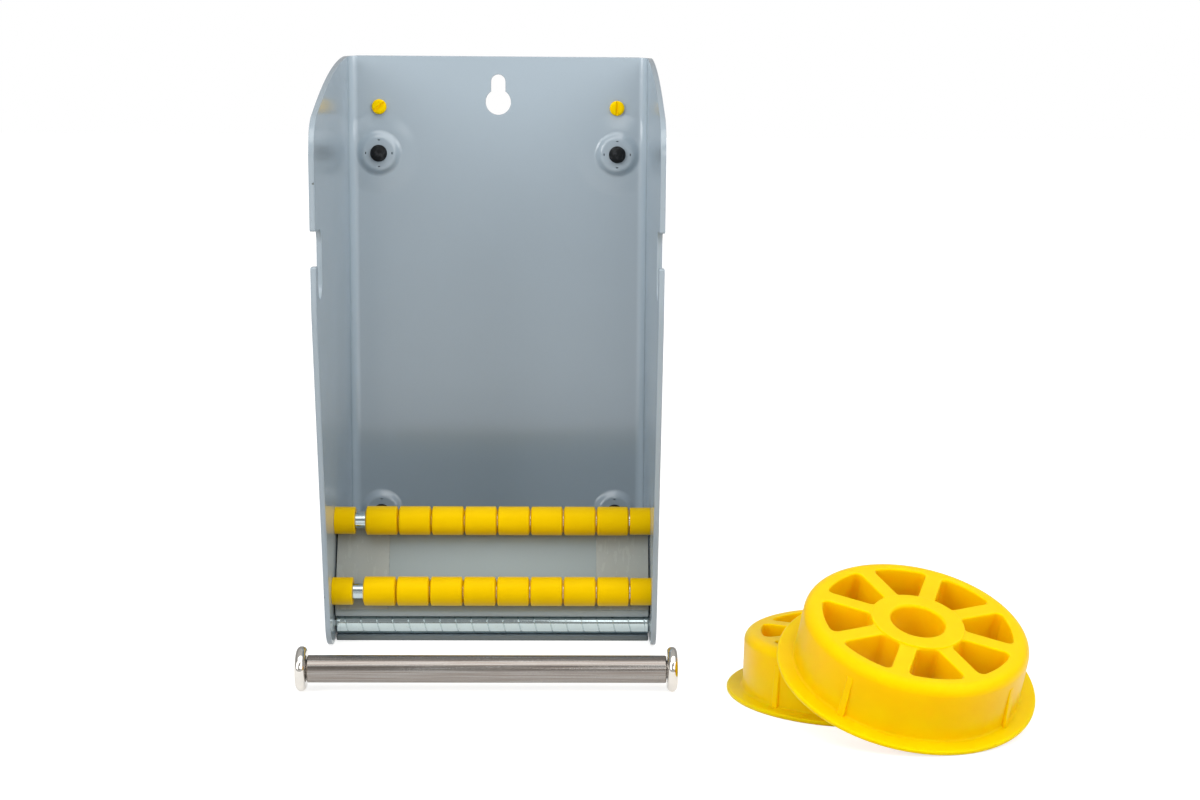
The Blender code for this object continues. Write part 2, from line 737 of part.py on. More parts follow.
def hub_profile():
    """Half section of a hub: flanged cup whose thick web carries the spokes and the bored boss."""
    flange = HUB_FLANGE / 2
    body = HUB_BODY / 2
    top = body - HUB_DRAFT
    edge = HUB_FLANGE_THICKNESS / 3
    web = HUB_HEIGHT - HUB_WEB
    bore = HUB_BORE / 2
    boss = HUB_BOSS / 2
    crown = HUB_HEIGHT + HUB_BOSS_STEP
    rim_centre = (top - HUB_RIM_RADIUS, HUB_HEIGHT - HUB_RIM_RADIUS)
    rim = [
        (rim_centre[0] + HUB_RIM_RADIUS * math.cos(a), rim_centre[1] + HUB_RIM_RADIUS * math.sin(a))
        for a in (math.pi / 2 * i / 4 for i in range(5))
    ]
    return [
        (body - HUB_WALL, 0),
        (flange - edge, 0),
        (flange, edge),
        (flange, HUB_FLANGE_THICKNESS - edge),
        (flange - edge, HUB_FLANGE_THICKNESS),
        (body + edge, HUB_FLANGE_THICKNESS),
        (body, HUB_FLANGE_THICKNESS + edge),
        *rim,
        (boss + HUB_BOSS_STEP, HUB_HEIGHT),
        (boss, crown),
        (bore + HUB_BORE_CHAMFER, crown),
        (bore, crown - HUB_BORE_CHAMFER),
        (bore, web),
        (body - HUB_WALL - HUB_DRAFT, web),
    ]


def window_outline(turn):
    """Plan of the window between two spokes, its sides parallel to them."""
    half = HUB_SPOKE_WIDTH / 2
    step = 2 * math.pi / HUB_SPOKES
    corners = []
    for radius, parts, way in ((HUB_BOSS / 2, 2, 1), (HUB_WINDOW_OUTER / 2, 4, -1)):
        clear = math.asin(half / radius)
        angles = [clear + (step - 2 * clear) * i / parts for i in range(parts + 1)][::way]
        for index, angle in enumerate(angles):
            corner = HUB_WINDOW_RADIUS if index in (0, parts) else 0
            corners.append((radius * math.cos(angle + turn), radius * math.sin(angle + turn), corner))
    return rounded(corners, CORNER_STEP)


def hub_mesh(finish):
    """Mesh of one hub about its own axis, with its flange on the floor and a spoke along X."""
    hub = finished("hub_form", turned(hub_profile(), HUB_STEPS), finish)
    windows = []
    for number in range(HUB_SPOKES):
        outline = window_outline(2 * math.pi * number / HUB_SPOKES)
        points = [Vector((x, y, -HUB_HEIGHT)) for x, y in outline]
        windows.append((extruded(points, Vector((0, 0, 3 * HUB_HEIGHT))), (0, 0, 0)))
    boolean(hub, gathered(windows))

    inner = HUB_BODY / 2 - HUB_WALL / 2
    proud = HUB_BODY / 2 + HUB_RIB_PROUD
    foot = HUB_FLANGE_THICKNESS / 2
    wedge = [(inner, foot), (proud, foot), (inner + HUB_WALL / 2, HUB_RIB_TOP), (inner, HUB_RIB_TOP)]
    ribs = []
    for number in range(HUB_RIBS):
        points = [Vector((radius, -HUB_RIB_WIDTH / 2, height)) for radius, height in wedge]
        rib = extruded(points, Vector((0, HUB_RIB_WIDTH, 0)))
        turn = 2 * math.pi * number / HUB_RIBS + math.pi / HUB_SPOKES
        bmesh.ops.rotate(rib, matrix=Matrix.Rotation(turn, 3, "Z"), verts=rib.verts)
        ribs.append((rib, (0, 0, 0)))
    boolean(hub, gathered(ribs), "UNION")
    graph = bpy.context.evaluated_depsgraph_get()
    mesh = bpy.data.meshes.new_from_object(hub.evaluated_get(graph))
    for modifier in hub.modifiers:
        bpy.data.objects.remove(modifier.object)
    bpy.data.objects.remove(hub)
    mesh.name = "hub"
    mesh.set_sharp_from_angle(angle=math.radians(35))
    return mesh


def solid_tree(mesh, matrix):
    """Search tree of a mesh's faces at a place, to test for touching."""
    points = [matrix @ vertex.co for vertex in mesh.vertices]
    return BVHTree.FromPolygons(points, [face.vertices[:] for face in mesh.polygons])


def leaning(lean, centre):
    """Place of the front hub when it leans by an angle with the low side of its flange on the floor."""
    axis = Vector((math.cos(FRONT_HUB_HEADING), math.sin(FRONT_HUB_HEADING), 0))
    tip = Matrix.Rotation(lean, 4, Vector((-axis.y, axis.x, 0)))
    height = HUB_FLANGE / 2 * math.sin(lean)
    at = Matrix.Translation((centre.x, centre.y, height))
    return at @ tip @ Matrix.Rotation(FRONT_HUB_TURN, 4, "Z")


def build_hubs(finish):
    """Two alike hubs: one flat on the floor, and one in front that is tipped until it rests on the first."""
    mesh = hub_mesh(finish)
    rear = finished("hub_rear", mesh, location=place(HALF_OUTER + REAR_HUB_ASIDE, SPINDLE_DEPTH, 0))
    rear.rotation_euler.z = REAR_HUB_TURN
    flat = Matrix.Translation(rear.location) @ Matrix.Rotation(REAR_HUB_TURN, 4, "Z")
    support = solid_tree(mesh, flat)
    centre = rear.location + Vector((FRONT_HUB_OFFSET[0], -FRONT_HUB_OFFSET[1], 0))
    touching = 0.0
    clear = math.radians(60)
    while clear - touching > math.radians(0.01):
        lean = (touching + clear) / 2
        if solid_tree(mesh, leaning(lean, centre)).overlap(support):
            touching = lean
        else:
            clear = lean
    front = finished("hub_front", mesh)
    front.matrix_world = leaning(clear + GAP / HUB_FLANGE, centre)
    print(f"front hub leans {math.degrees(clear):.2f} degrees")


def main():
    for obj in list(bpy.data.objects):
        bpy.data.objects.remove(obj)
    paint = material("grey_paint", (0.42, 0.48, 0.53), 0.35, 0.0)
    yellow = material("yellow_plastic", (0.80, 0.50, 0.01), 0.40, 0.0)
    rubber = material("black_rubber", (0.02, 0.02, 0.02), 0.75, 0.0)
    zinc = material("bright_zinc", (0.62, 0.64, 0.66), 0.28, 1.0)
    steel = material("satin_steel", (0.50, 0.48, 0.45), 0.38, 1.0)
    nickel = material("polished_nickel", (0.70, 0.68, 0.64), 0.12, 1.0)
    tape = material("beige_tape", (0.42, 0.41, 0.35), 0.30, 0.0)

    build_body(paint)
    build_feet(rubber)
    build_plugs(yellow)
    build_roller_row("upper_roller", UPPER_ROLLER, zinc, yellow)
    build_roller_row("lower_roller", LOWER_ROLLER, zinc, yellow)
    build_peel_rod(zinc)
    build_guide(paint, tape, zinc)
    build_spindle(steel, nickel)
    build_hubs(yellow)


main()
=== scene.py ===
"""Looks of the sheet-steel label dispenser, with its spindle and two core hubs in front of it.

Sizes are in metres in the part's own frame: X runs across the dispenser, its open front faces -Y and
Z is up. A depth is measured forward from the back plate's front face, and a height from the floor.
"""

from __future__ import annotations

import logging
import math
from collections.abc import Callable, Iterable, Sequence
from dataclasses import dataclass
from enum import Enum
from typing import Any

import bmesh
import bpy
from mathutils import Matrix, Vector

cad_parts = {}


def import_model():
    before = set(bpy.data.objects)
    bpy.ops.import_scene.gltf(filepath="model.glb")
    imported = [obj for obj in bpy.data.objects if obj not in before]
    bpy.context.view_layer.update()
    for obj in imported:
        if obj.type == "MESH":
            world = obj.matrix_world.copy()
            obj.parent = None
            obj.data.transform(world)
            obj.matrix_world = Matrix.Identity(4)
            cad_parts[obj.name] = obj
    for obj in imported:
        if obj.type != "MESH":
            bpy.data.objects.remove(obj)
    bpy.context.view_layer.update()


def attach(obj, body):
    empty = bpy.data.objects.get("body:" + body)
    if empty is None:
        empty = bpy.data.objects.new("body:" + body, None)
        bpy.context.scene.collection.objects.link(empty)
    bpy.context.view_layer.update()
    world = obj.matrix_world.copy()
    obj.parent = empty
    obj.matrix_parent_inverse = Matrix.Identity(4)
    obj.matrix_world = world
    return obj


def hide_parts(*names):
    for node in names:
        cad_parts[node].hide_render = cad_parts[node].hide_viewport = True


LOG = logging.getLogger("dispenser")
Pair = tuple[float, float]
Triple = tuple[float, float, float]
ORIGIN = Vector()
FULL_TURN = 2 * math.pi
ARC_SAG = 0.00002
SEED_SIZE = 0.001
WELD_REACH = 3e-6
# Finest gap between two places, and how far outside a head its slot's cutter starts.
HAIR = 0.00002
SLOT_LEAD = 0.001
SMOOTH_ANGLE = math.radians(35)
EVEN = (1.0, 1.0, 1.0)
WHITE = (1.0, 1.0, 1.0)
FIXED_BODY = "dispenser"
INNER_HALF = 0.060
BODY_SHEET = 0.002
BACK_FACE_Y = 0.036
UPPER_SHAFT = (0.0673, 0.0460)
LOWER_SHAFT = (0.0788, 0.0212)
ROD_AXIS = (0.06829, 0.0068)
ROLLER_RADIUS = 0.0055
FOOT_ACROSS = 0.0482
FOOT_HEIGHTS = {"upper": 0.1838, "lower": 0.0364}
PLUG_ACROSS = 0.048
PLUG_HEIGHT = 0.2024


class Side(Enum):
    """Left or right of the dispenser's middle, with the sign of X there."""

    LEFT = -1
    RIGHT = 1

    @property
    def label(self) -> str:
        """Word for the side, as node names have it."""
        return self.name.lower()

    @property
    def out(self) -> Vector:
        """Step of one along X, away from the middle."""
        return Vector((self.value, 0, 0))


class Boolean(Enum):
    """What is done with a second solid."""

    CUT = "DIFFERENCE"
    FUSE = "UNION"


class Axis(Enum):
    """Axis that a turned piece is spun about."""

    X = (1.0, 0.0, 0.0)
    Y = (0.0, 1.0, 0.0)
    Z = (0.0, 0.0, 1.0)

    def point(self, radius: float, along: float) -> Vector:
        """Place of a profile point, in a plane that holds the axis.

        Args:
            radius: Distance from the axis.
            along: Distance along the axis, forward for Y.

        Returns:
            The point.
        """
        if self is Axis.X:
            return Vector((along, 0.0, radius))
        if self is Axis.Y:
            return Vector((radius, -along, 0.0))
        return Vector((radius, 0.0, along))


def place(x: float, depth: float, height: float) -> Vector:
    """Point at a distance across, forward of the back plate's front face and up."""
    return Vector((x, BACK_FACE_Y - depth, height))


def rounded(corners: Sequence[Triple], closed: bool, step: float = 6) -> list[Vector]:
    """Line through corners, with each corner of a radius turned into an arc.

    Args:
        corners: Corners as (u, v, radius).
        closed: Whether the line comes back to its first corner.
        step: Largest turn in degrees from one point of an arc to the next, made finer on wide arcs.

    Returns:
        The line's points as 2-D vectors.
    """
    line: list[Vector] = []
    for index, (u, v, radius) in enumerate(corners):
        here = Vector((u, v))
        end = not closed and index in (0, len(corners) - 1)
        if radius <= 0 or end:
            line.append(here)
            continue
        back = (Vector(corners[index - 1][:2]) - here).normalized()
        onward = (Vector(corners[(index + 1) % len(corners)][:2]) - here).normalized()
        opening = back.angle(onward)
        centre = here + (back + onward).normalized() * radius / math.sin(opening / 2)
        start = here + back * radius / math.tan(opening / 2) - centre
        turn = math.copysign(math.pi - opening, -back.cross(onward))
        steps = max(2, math.ceil(abs(turn) / min(math.radians(step), math.sqrt(8 * ARC_SAG / radius))))
        line += [centre + Matrix.Rotation(turn * i / steps, 2) @ start for i in range(steps + 1)]
    return line


def both_ends(end: list[Triple]) -> list[Triple]:
    """Half section of a bar whose other end mirrors the one given."""
    return end + [(radius, -along, rounding) for radius, along, rounding in reversed(end)]


def domed(radius: float, crown: float, dome: Sequence[Triple]) -> list[Triple]:
    """Corners of a domed end, up to the axis.

    Args:
        radius: Radius of the head.
        crown: Place of the dome's top along the axis.
        dome: Corners before the top, as (share of the radius, drop from the top, rounding).

    Returns:
        The corners as (radius, place along the axis, rounding).
    """
    return [*((radius * share, crown - drop, rounding) for share, drop, rounding in dome), (0.0, crown, 0.0)]


def ring(u: float, v: float, radius: float, steps: int) -> list[Vector]:
    """Circle as 2-D points about a centre."""
    angles = (FULL_TURN * i / steps for i in range(steps))
    return [Vector((u + radius * math.cos(a), v + radius * math.sin(a))) for a in angles]


def rest() -> None:
    """Leaves edit mode and deselects everything."""
    if bpy.context.object and bpy.context.object.mode != "OBJECT":
        bpy.ops.object.mode_set(mode="OBJECT")
    bpy.ops.object.select_all(action="DESELECT")


@dataclass
class Solid:
    """Mesh object in the making, worked on with Blender's operators."""

    piece: bpy.types.Object

    @classmethod
    def begin(cls, name: str) -> Solid:
        """Starts an empty mesh in edit mode from a plane primitive.

        Args:
            name: Name of the new object and of its mesh.

        Returns:
            The new solid.
        """
        rest()
        bpy.ops.mesh.primitive_plane_add(size=SEED_SIZE)
        piece = bpy.context.object
        piece.name = piece.data.name = name
        bpy.ops.object.mode_set(mode="EDIT")
        bpy.ops.mesh.select_mode(type="VERT")
        bpy.ops.mesh.select_all(action="SELECT")
        bpy.ops.mesh.delete(type="VERT")
        return cls(piece)

    @classmethod
    def turned(
        cls, name: str, corners: Sequence[Triple], axis: Axis, at: Vector = ORIGIN, way: int = 1,
        closed: bool = False, step: float = 6, steps: int = 64,
    ) -> Solid:
        """Solid of revolution from a half section.

        Args:
            name: Name of the new object.
            corners: Half section as (radius, place along the axis, rounding).
            axis: Axis to spin about.
            at: Place of the axis's zero point.
            way: 1, or -1 to mirror the half section along the axis.
            closed: Whether the half section is a loop, as for a piece with a bore.
            step: Largest turn in degrees from point to point of a rounding.
            steps: Number of facets round.

        Returns:
            The new solid, in object mode.
        """
        line = rounded(corners, closed, step)
        solid = cls.begin(name).trace([axis.point(radius, along * way) for radius, along in line], closed)
        solid.spin(axis, steps)
        bpy.ops.transform.translate(value=at)
        return solid.outward().done()

    @classmethod
    def pushed(cls, name: str, outline: Sequence[Vector], step: Vector) -> Solid:
        """Solid made by pushing a flat outline along a vector.

        Args:
            name: Name of the new object.
            outline: Closed outline as points in space.
            step: The push.

        Returns:
            The new solid, in object mode.
        """
        solid = cls.begin(name).trace(outline).weld()
        bpy.ops.mesh.edge_face_add()
        bpy.ops.mesh.extrude_region_move(TRANSFORM_OT_translate={"value": step})
        return solid.outward().done()

    def copied(self, name: str, matrix: Matrix) -> Solid:
        """Copy with a mesh of its own, moved in the mesh.

        Args:
            name: Name of the copy.
            matrix: Move from the solid to its copy.

        Returns:
            The copy.
        """
        other = self.piece.copy()
        other.data = self.piece.data.copy()
        other.name = other.data.name = name
        bpy.context.scene.collection.objects.link(other)
        other.data.transform(matrix)
        return Solid(other)

    def remove(self) -> None:
        """Takes the object out of the scene."""
        bpy.data.objects.remove(self.piece)

    def take_up(self) -> None:
        """Makes this the one selected and active object."""
        rest()
        self.piece.select_set(True)
        bpy.context.view_layer.objects.active = self.piece

    def edit(self) -> Solid:
        """Goes into edit mode.

        Returns:
            The solid.
        """
        self.take_up()
        bpy.ops.object.mode_set(mode="EDIT")
        return self

    def done(self) -> Solid:
        """Leaves edit mode."""
        bpy.ops.object.mode_set(mode="OBJECT")
        return self

    def trace(self, points: Iterable[Vector], closed: bool = True) -> Solid:
        """Draws a line by extruding one vertex from point to point.

        Args:
            points: The line's points.
            closed: Whether the line comes back to its first point.

        Returns:
            The solid.
        """
        run = [Vector(point) for point in points]
        if closed:
            run.append(run[0])
        bpy.ops.mesh.primitive_plane_add(size=SEED_SIZE)
        bpy.ops.mesh.merge(type="CENTER")
        bpy.ops.transform.translate(value=run[0])
        for here, onward in zip(run, run[1:]):
            bpy.ops.mesh.extrude_vertices_move(TRANSFORM_OT_translate={"value": onward - here})
        return self

    def weld(self) -> Solid:
        """Merges vertices that lie on each other, over the whole mesh.

        Returns:
            The solid.
        """
        bpy.ops.mesh.select_all(action="SELECT")
        bpy.ops.mesh.remove_doubles(threshold=WELD_REACH)
        return self

    def outward(self) -> Solid:
        """Turns all faces of a closed mesh outward.

        Returns:
            The solid.
        """
        bpy.ops.mesh.select_all(action="SELECT")
        bpy.ops.mesh.normals_make_consistent(inside=False)
        return self

    def spin(self, axis: Axis, steps: int) -> Solid:
        """Spins a traced line once round an axis and closes the seam.

        Args:
            axis: The axis, through the origin.
            steps: Number of facets round.

        Returns:
            The solid.
        """
        self.weld()
        bpy.ops.mesh.spin(steps=steps, angle=FULL_TURN, center=ORIGIN, axis=axis.value)
        return self.weld()

    def pick(self, test: Callable[[Vector], bool]) -> None:
        """Selects the vertices that pass a test, and what lies between them.

        Args:
            test: Says of a vertex's place whether it is wanted.
        """
        mesh = bmesh.from_edit_mesh(self.piece.data)
        for item in (*mesh.faces, *mesh.edges, *mesh.verts):
            item.select = False
        for vertex in mesh.verts:
            vertex.select = test(vertex.co)
        mesh.select_flush(True)
        bmesh.update_edit_mesh(self.piece.data)

    def modify(self, kind: str, **settings: Any) -> Solid:
        """Adds one modifier and applies it.

        Args:
            kind: The modifier's type.
            settings: Its properties.

        Returns:
            The solid.
        """
        self.take_up()
        modifier = self.piece.modifiers.new(kind.title(), kind)
        for key, value in settings.items():
            setattr(modifier, key, value)
        bpy.ops.object.modifier_apply(modifier=modifier.name)
        return self

    def combine(self, other: Solid, operation: Boolean) -> Solid:
        """Cuts another solid out of this one or fuses it to this one, and removes it.

        Args:
            other: The other solid.
            operation: Whether it cuts or fuses.

        Returns:
            The solid.
        """
        self.modify("BOOLEAN", object=other.piece, operation=operation.value, solver="EXACT")
        other.remove()
        return self

    def absorb(self, others: Sequence[Solid]) -> Solid:
        """Joins other meshes into this one, as they are.

        Args:
            others: The solids to take in.

        Returns:
            The solid.
        """
        self.take_up()
        for other in others:
            other.piece.select_set(True)
        bpy.ops.object.join()
        return self

    def soften(self, width: float, angle: float, segments: int) -> Solid:
        """Rounds the edges that turn by more than an angle.

        Args:
            width: Width of the rounding.
            angle: Least turn of an edge that is rounded, in degrees.
            segments: Number of facets across the rounding.

        Returns:
            The solid.
        """
        return self.modify(
            "BEVEL", width=width, segments=segments, limit_method="ANGLE",
            angle_limit=math.radians(angle), use_clamp_overlap=False, loop_slide=False,
        )

    def slotted(self, start: Vector, into: Vector, half: Pair, turn: float) -> Solid:
        """Cuts a screwdriver slot into a head.

        Args:
            start: Place outside the head, over its middle.
            into: Way from there to the slot's floor, along X or Y.
            half: Half the slot's length and width.
            turn: Angle of the slot.

        Returns:
            The solid.
        """
        length, width = half
        corners = [(-length, -width), (length, -width), (length, width), (-length, width)]
        flat = [Matrix.Rotation(turn, 2) @ Vector(corner) for corner in corners]
        outline = [start + Vector((0, u, v) if into.x else (u, 0, v)) for u, v in flat]
        return self.combine(Solid.pushed("slot", outline, into), Boolean.CUT)

    def dress(self, node: str, finish: Finish, body: str = FIXED_BODY) -> None:
        """Smooths the piece between its sharp edges, dresses it and puts it in the place of its CAD node.

        Args:
            node: The node that it stands for.
            finish: Its surface.
            body: The body that it moves with.
        """
        self.take_up()
        bpy.ops.object.shade_smooth_by_angle(angle=SMOOTH_ANGLE)
        self.modify("WEIGHTED_NORMAL", weight=80, keep_sharp=True)
        self.piece.data.materials.clear()
        self.piece.data.materials.append(finish.material())
        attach(self.piece, body)
        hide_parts(node)
        LOG.info("%s stands for %s, %d faces", self.piece.name, node, len(self.piece.data.polygons))


class Wire:
    """Output socket of a shader tree, on which sums add Math nodes."""

    def __init__(self, shader: Shader, socket: bpy.types.NodeSocket) -> None:
        """Wraps a socket of a shader's tree."""
        self.shader = shader
        self.socket = socket

    def _sum(self, operation: str, other: Any) -> Wire:
        """Math node on this value and another."""
        return self.shader.node("ShaderNodeMath", {"operation": operation}, {0: self, 1: other})

    def __add__(self, other: Any) -> Wire:
        """Sum of two values."""
        return self._sum("ADD", other)

    __radd__ = __add__

    def __sub__(self, other: Any) -> Wire:
        """Difference of two values."""
        return self._sum("SUBTRACT", other)

    def __mul__(self, other: Any) -> Wire:
        """Product of two values."""
        return self._sum("MULTIPLY", other)

    def ramp(self, low: float, high: float) -> Wire:
        """Smooth step from nought at one value to one at another."""
        settings = {"interpolation_type": "SMOOTHSTEP"}
        return self.shader.node("ShaderNodeMapRange", settings, {0: self, 1: low, 2: high, 3: 0.0, 4: 1.0})


class Shader:
    """Node tree of a material or of the world, with the shader node that it ends in."""

    def __init__(self, owner: bpy.types.Material | bpy.types.World, end: str = "Principled BSDF") -> None:
        """Takes up the tree that a new material or world starts with.

        Args:
            owner: The material or world.
            end: Name of the node that its tree ends in.
        """
        owner.use_nodes = True
        self.tree = owner.node_tree
        self.end = self.tree.nodes[end]

    def link(self, value: Any, socket: bpy.types.NodeSocket) -> None:
        """Gives a socket a wire or a plain value.

        Args:
            value: The wire or the value.
            socket: The input socket.
        """
        if isinstance(value, Wire):
            self.tree.links.new(value.socket, socket)
        else:
            socket.default_value = value

    def node(
        self, kind: str, settings: dict[str, Any], inputs: dict[int | str, Any], output: int | str = 0
    ) -> Wire:
        """Adds one node.

        Args:
            kind: The node's type.
            settings: Its properties, with a ramp's stops under "stops".
            inputs: Values or wires of its sockets.
            output: The output that is wanted.

        Returns:
            That output.
        """
        made = self.tree.nodes.new(kind)
        stops = settings.pop("stops", [])
        while stops and len(made.color_ramp.elements) < len(stops):
            made.color_ramp.elements.new(0.5)
        for index, (spot, colour) in enumerate(stops):
            stop = made.color_ramp.elements[index]
            stop.position, stop.color = spot, (*colour, 1.0)
        for key, value in settings.items():
            setattr(made, key, value)
        for key, value in inputs.items():
            self.link(value, made.inputs[key])
        return Wire(self, made.outputs[output])

    def where(self, stretch: Triple = EVEN) -> Wire:
        """Place on the piece in metres, stretched along the axes.

        Args:
            stretch: Factor along each axis.

        Returns:
            The place.
        """
        spot = self.node("ShaderNodeTexCoord", {}, {}, "Object")
        if stretch == EVEN:
            return spot
        return self.node("ShaderNodeMapping", {}, {"Vector": spot, "Scale": stretch})

    def noise(self, size: float, detail: float = 2.0, roughness: float = 0.5, stretch: Triple = EVEN) -> Wire:
        """Noise whose lumps are about a size across, and longer where the stretch is below one."""
        inputs = {"Vector": self.where(stretch), "Scale": 1 / size, "Detail": detail, "Roughness": roughness}
        return self.node("ShaderNodeTexNoise", {}, inputs)

    def mark(self, name: str) -> Wire:
        """Value of an attribute of the mesh."""
        return self.node("ShaderNodeAttribute", {"attribute_name": name}, {}, "Fac")

    def rays(self, kind: str) -> Wire:
        """One for rays of a kind, and nought for others."""
        return self.node("ShaderNodeLightPath", {}, {}, f"Is {kind} Ray")

    def blend(self, factor: Any, first: Any, second: Any) -> Wire:
        """Colour between two colours or wires, by the share of the second."""
        pair = [value if isinstance(value, Wire) else (*value, 1.0) for value in (first, second)]
        return self.node("ShaderNodeMix", {"data_type": "RGBA"}, {0: factor, 6: pair[0], 7: pair[1]}, 2)

    def bump(self, height: Wire, depth: float) -> None:
        """Roughens the surface by a height, of which one is a depth in metres."""
        inputs = {"Strength": 1.0, "Distance": depth, "Height": height}
        self.set(Normal=self.node("ShaderNodeBump", {}, inputs))

    def set(self, **values: Any) -> None:
        """Sets the last node's sockets, with underscores for the spaces in their names."""
        for key, value in values.items():
            self.link(value, self.end.inputs[key.replace("_", " ")])


def scaled(colour: Triple, by: float) -> Triple:
    """Colour made lighter or darker."""
    return tuple(min(1.0, part * by) for part in colour)


@dataclass(frozen=True)
class Finish:
    """Surface of a kind of piece, made once and shared by the pieces that have it."""

    name: str
    slot: str
    colour: Triple
    roughness: float

    def material(self) -> bpy.types.Material:
        """Material of this finish, made the first time that it is asked for.

        Returns:
            The material.
        """
        name = f"{self.name}_finish"
        if name not in bpy.data.materials:
            self.shade(Shader(bpy.data.materials.new(name)))
        return bpy.data.materials[name]

    def shade(self, shader: Shader) -> None:
        """Builds the finish's nodes."""
        raise NotImplementedError


@dataclass(frozen=True)
class GreyPaint(Finish):
    """Semi-gloss stoved paint on sheet steel, chipped in places along the cut edges."""

    primer: Triple = (0.085, 0.105, 0.105)
    # Painted shade for the bottom plate's front edge, which lies in shade under the peel rod.
    painted_lip_shade: Triple = (0.105, 0.128, 0.132)
    peel: float = 0.0011
    relief: float = 0.000012
    bow: float = 0.0020
    bow_heights: Pair = (0.045, 0.095)
    skirt: float = 0.0006
    skirt_radii: Pair = (0.017, 0.008)
    skirt_depths: Pair = (0.0300, 0.0345)

    def shade(self, shader: Shader) -> None:
        """Slow drift of the colour, orange peel, chips, darker cut edges, painted shade on the bottom plate's
        front edge, a painted highlight along the bends, and the pressed sheet's soft swell.

        Args:
            shader: The material's nodes.
        """
        rim, lip, bend = (shader.mark(name) for name in ("rim", "lip", "bend"))
        drift = shader.noise(0.045, 3.0)
        speck = shader.noise(0.00035)
        chip = shader.noise(0.0021, 3.0, 0.62).ramp(0.700, 0.715) * rim
        tone = shader.blend(drift, scaled(self.colour, 0.965), scaled(self.colour, 1.035))
        tone = shader.blend(speck.ramp(0.60, 0.72) * 0.16, tone, scaled(self.colour, 0.72))
        # Painted highlight: the bends are painted lighter, standing in for the light that their curve
        # catches.
        tone = shader.blend(bend * 0.55, tone, scaled(self.colour, 1.45))
        tone = shader.blend(rim * 0.6, tone, scaled(self.colour, 0.72))
        shader.set(
            # The bottom plate's front edge (lip) is painted dark: painted shade, for the shade under the peel
            # rod.
            Base_Color=shader.blend(lip, shader.blend(chip, tone, self.primer), self.painted_lip_shade),
            Roughness=self.roughness + (drift - 0.5) * 0.05 + chip * 0.30 + lip * 0.35,
            Specular_IOR_Level=0.8,
        )
        spot = shader.where()
        across, along, up = (shader.node("ShaderNodeSeparateXYZ", {}, {0: spot}, axis) for axis in "XYZ")
        aside = shader.node("ShaderNodeMath", {"operation": "ABSOLUTE"}, {0: across}) - FOOT_ACROSS
        above = up - FOOT_HEIGHTS["upper"]
        near_foot = (aside * aside + above * above).ramp(*(radius**2 for radius in self.skirt_radii))
        swell = up.ramp(*self.bow_heights) * self.bow
        swell += near_foot * along.ramp(*self.skirt_depths) * self.skirt
        grain = shader.noise(self.peel, 1.0) * self.relief + speck * self.relief * 0.25
        shader.bump(grain - chip * self.relief * 3.0 + swell, 1.0)


@dataclass(frozen=True)
class YellowPlastic(Finish):
    """Moulded plastic with a faint cloud in the pigment and a satin skin, which lets some light through."""

    glow_through: float = 0.0

    def shade(self, shader: Shader) -> None:
        """Pigment clouds, a fine mould texture and rubbed spots.

        Args:
            shader: The material's nodes.
        """
        cloud, rub = shader.noise(0.009, 4.0, 0.55), shader.noise(0.004, 3.0, 0.6)
        red, green, blue = self.colour
        deep, light = (red * 0.985, green * 0.970, blue), (min(1.0, red * 1.01), green * 1.02, blue)
        shader.set(
            Base_Color=shader.blend(cloud.ramp(0.25, 0.75), deep, light),
            Roughness=self.roughness + (rub - 0.5) * 0.12,
            Specular_IOR_Level=0.30, Specular_Tint=(1.0, 0.80, 0.04, 1.0),
            Subsurface_Weight=self.glow_through, Subsurface_Radius=(1.0, 0.6, 0.05), Subsurface_Scale=0.008,
        )
        shader.bump(shader.noise(0.00045), 0.000010)


@dataclass(frozen=True)
class BlackRubber(Finish):
    """Matt rubber with a dusty bloom."""

    bloom: Triple = (0.045, 0.047, 0.050)

    def shade(self, shader: Shader) -> None:
        """Bloom over black, and a fine matt grain.

        Args:
            shader: The material's nodes.
        """
        dust = shader.noise(0.0022, 4.0, 0.6)
        shader.set(
            Base_Color=shader.blend(dust.ramp(0.45, 0.75), self.colour, self.bloom),
            Roughness=self.roughness + (dust - 0.5) * 0.2, Specular_IOR_Level=0.15,
        )
        shader.bump(shader.noise(0.00025), 0.000012)


@dataclass(frozen=True)
class ZincPlate(Finish):
    """Bright zinc over drawn steel, clouded and faintly lined along its length."""

    stain: Triple = (0.38, 0.43, 0.42)

    def shade(self, shader: Shader) -> None:
        """Cloudy plating, drawing lines along X and small stains.

        Args:
            shader: The material's nodes.
        """
        cloud = shader.noise(0.0035, 3.0)
        line = shader.noise(0.00035, stretch=(0.03, 1.0, 1.0))
        stain = shader.noise(0.0012, 3.0, 0.6).ramp(0.60, 0.75)
        tone = shader.blend(cloud, scaled(self.colour, 0.93), scaled(self.colour, 1.06))
        shader.set(
            Base_Color=shader.blend(stain * 0.5, tone, self.stain), Metallic=1.0,
            Roughness=self.roughness + (cloud - 0.5) * 0.10 + (line - 0.5) * 0.10 + stain * 0.08,
        )
        shader.bump(line, 0.000003)


@dataclass(frozen=True)
class SatinSteel(Finish):
    """Ground bar steel, streaked along its length and slightly tarnished."""

    tarnish: Triple = (0.24, 0.205, 0.18)

    def shade(self, shader: Shader) -> None:
        """Long grinding streaks, warm tarnish and fine cross marks.

        Args:
            shader: The material's nodes.
        """
        streak = shader.noise(0.00042, 4.0, 0.65, (0.012, 1.0, 1.0))
        broad = shader.noise(0.0022, 3.0, stretch=(0.05, 1.0, 1.0))
        cross = shader.noise(0.00030, stretch=(1.0, 0.25, 0.25))
        tone = shader.blend(streak.ramp(0.30, 0.72), self.tarnish, self.colour)
        shader.set(
            Base_Color=shader.blend(broad.ramp(0.40, 0.75) * 0.45, tone, self.tarnish), Metallic=1.0,
            Roughness=self.roughness + (streak - 0.5) * 0.22 + (cross - 0.5) * 0.06,
        )
        shader.bump(streak + cross * 0.3, 0.000008)


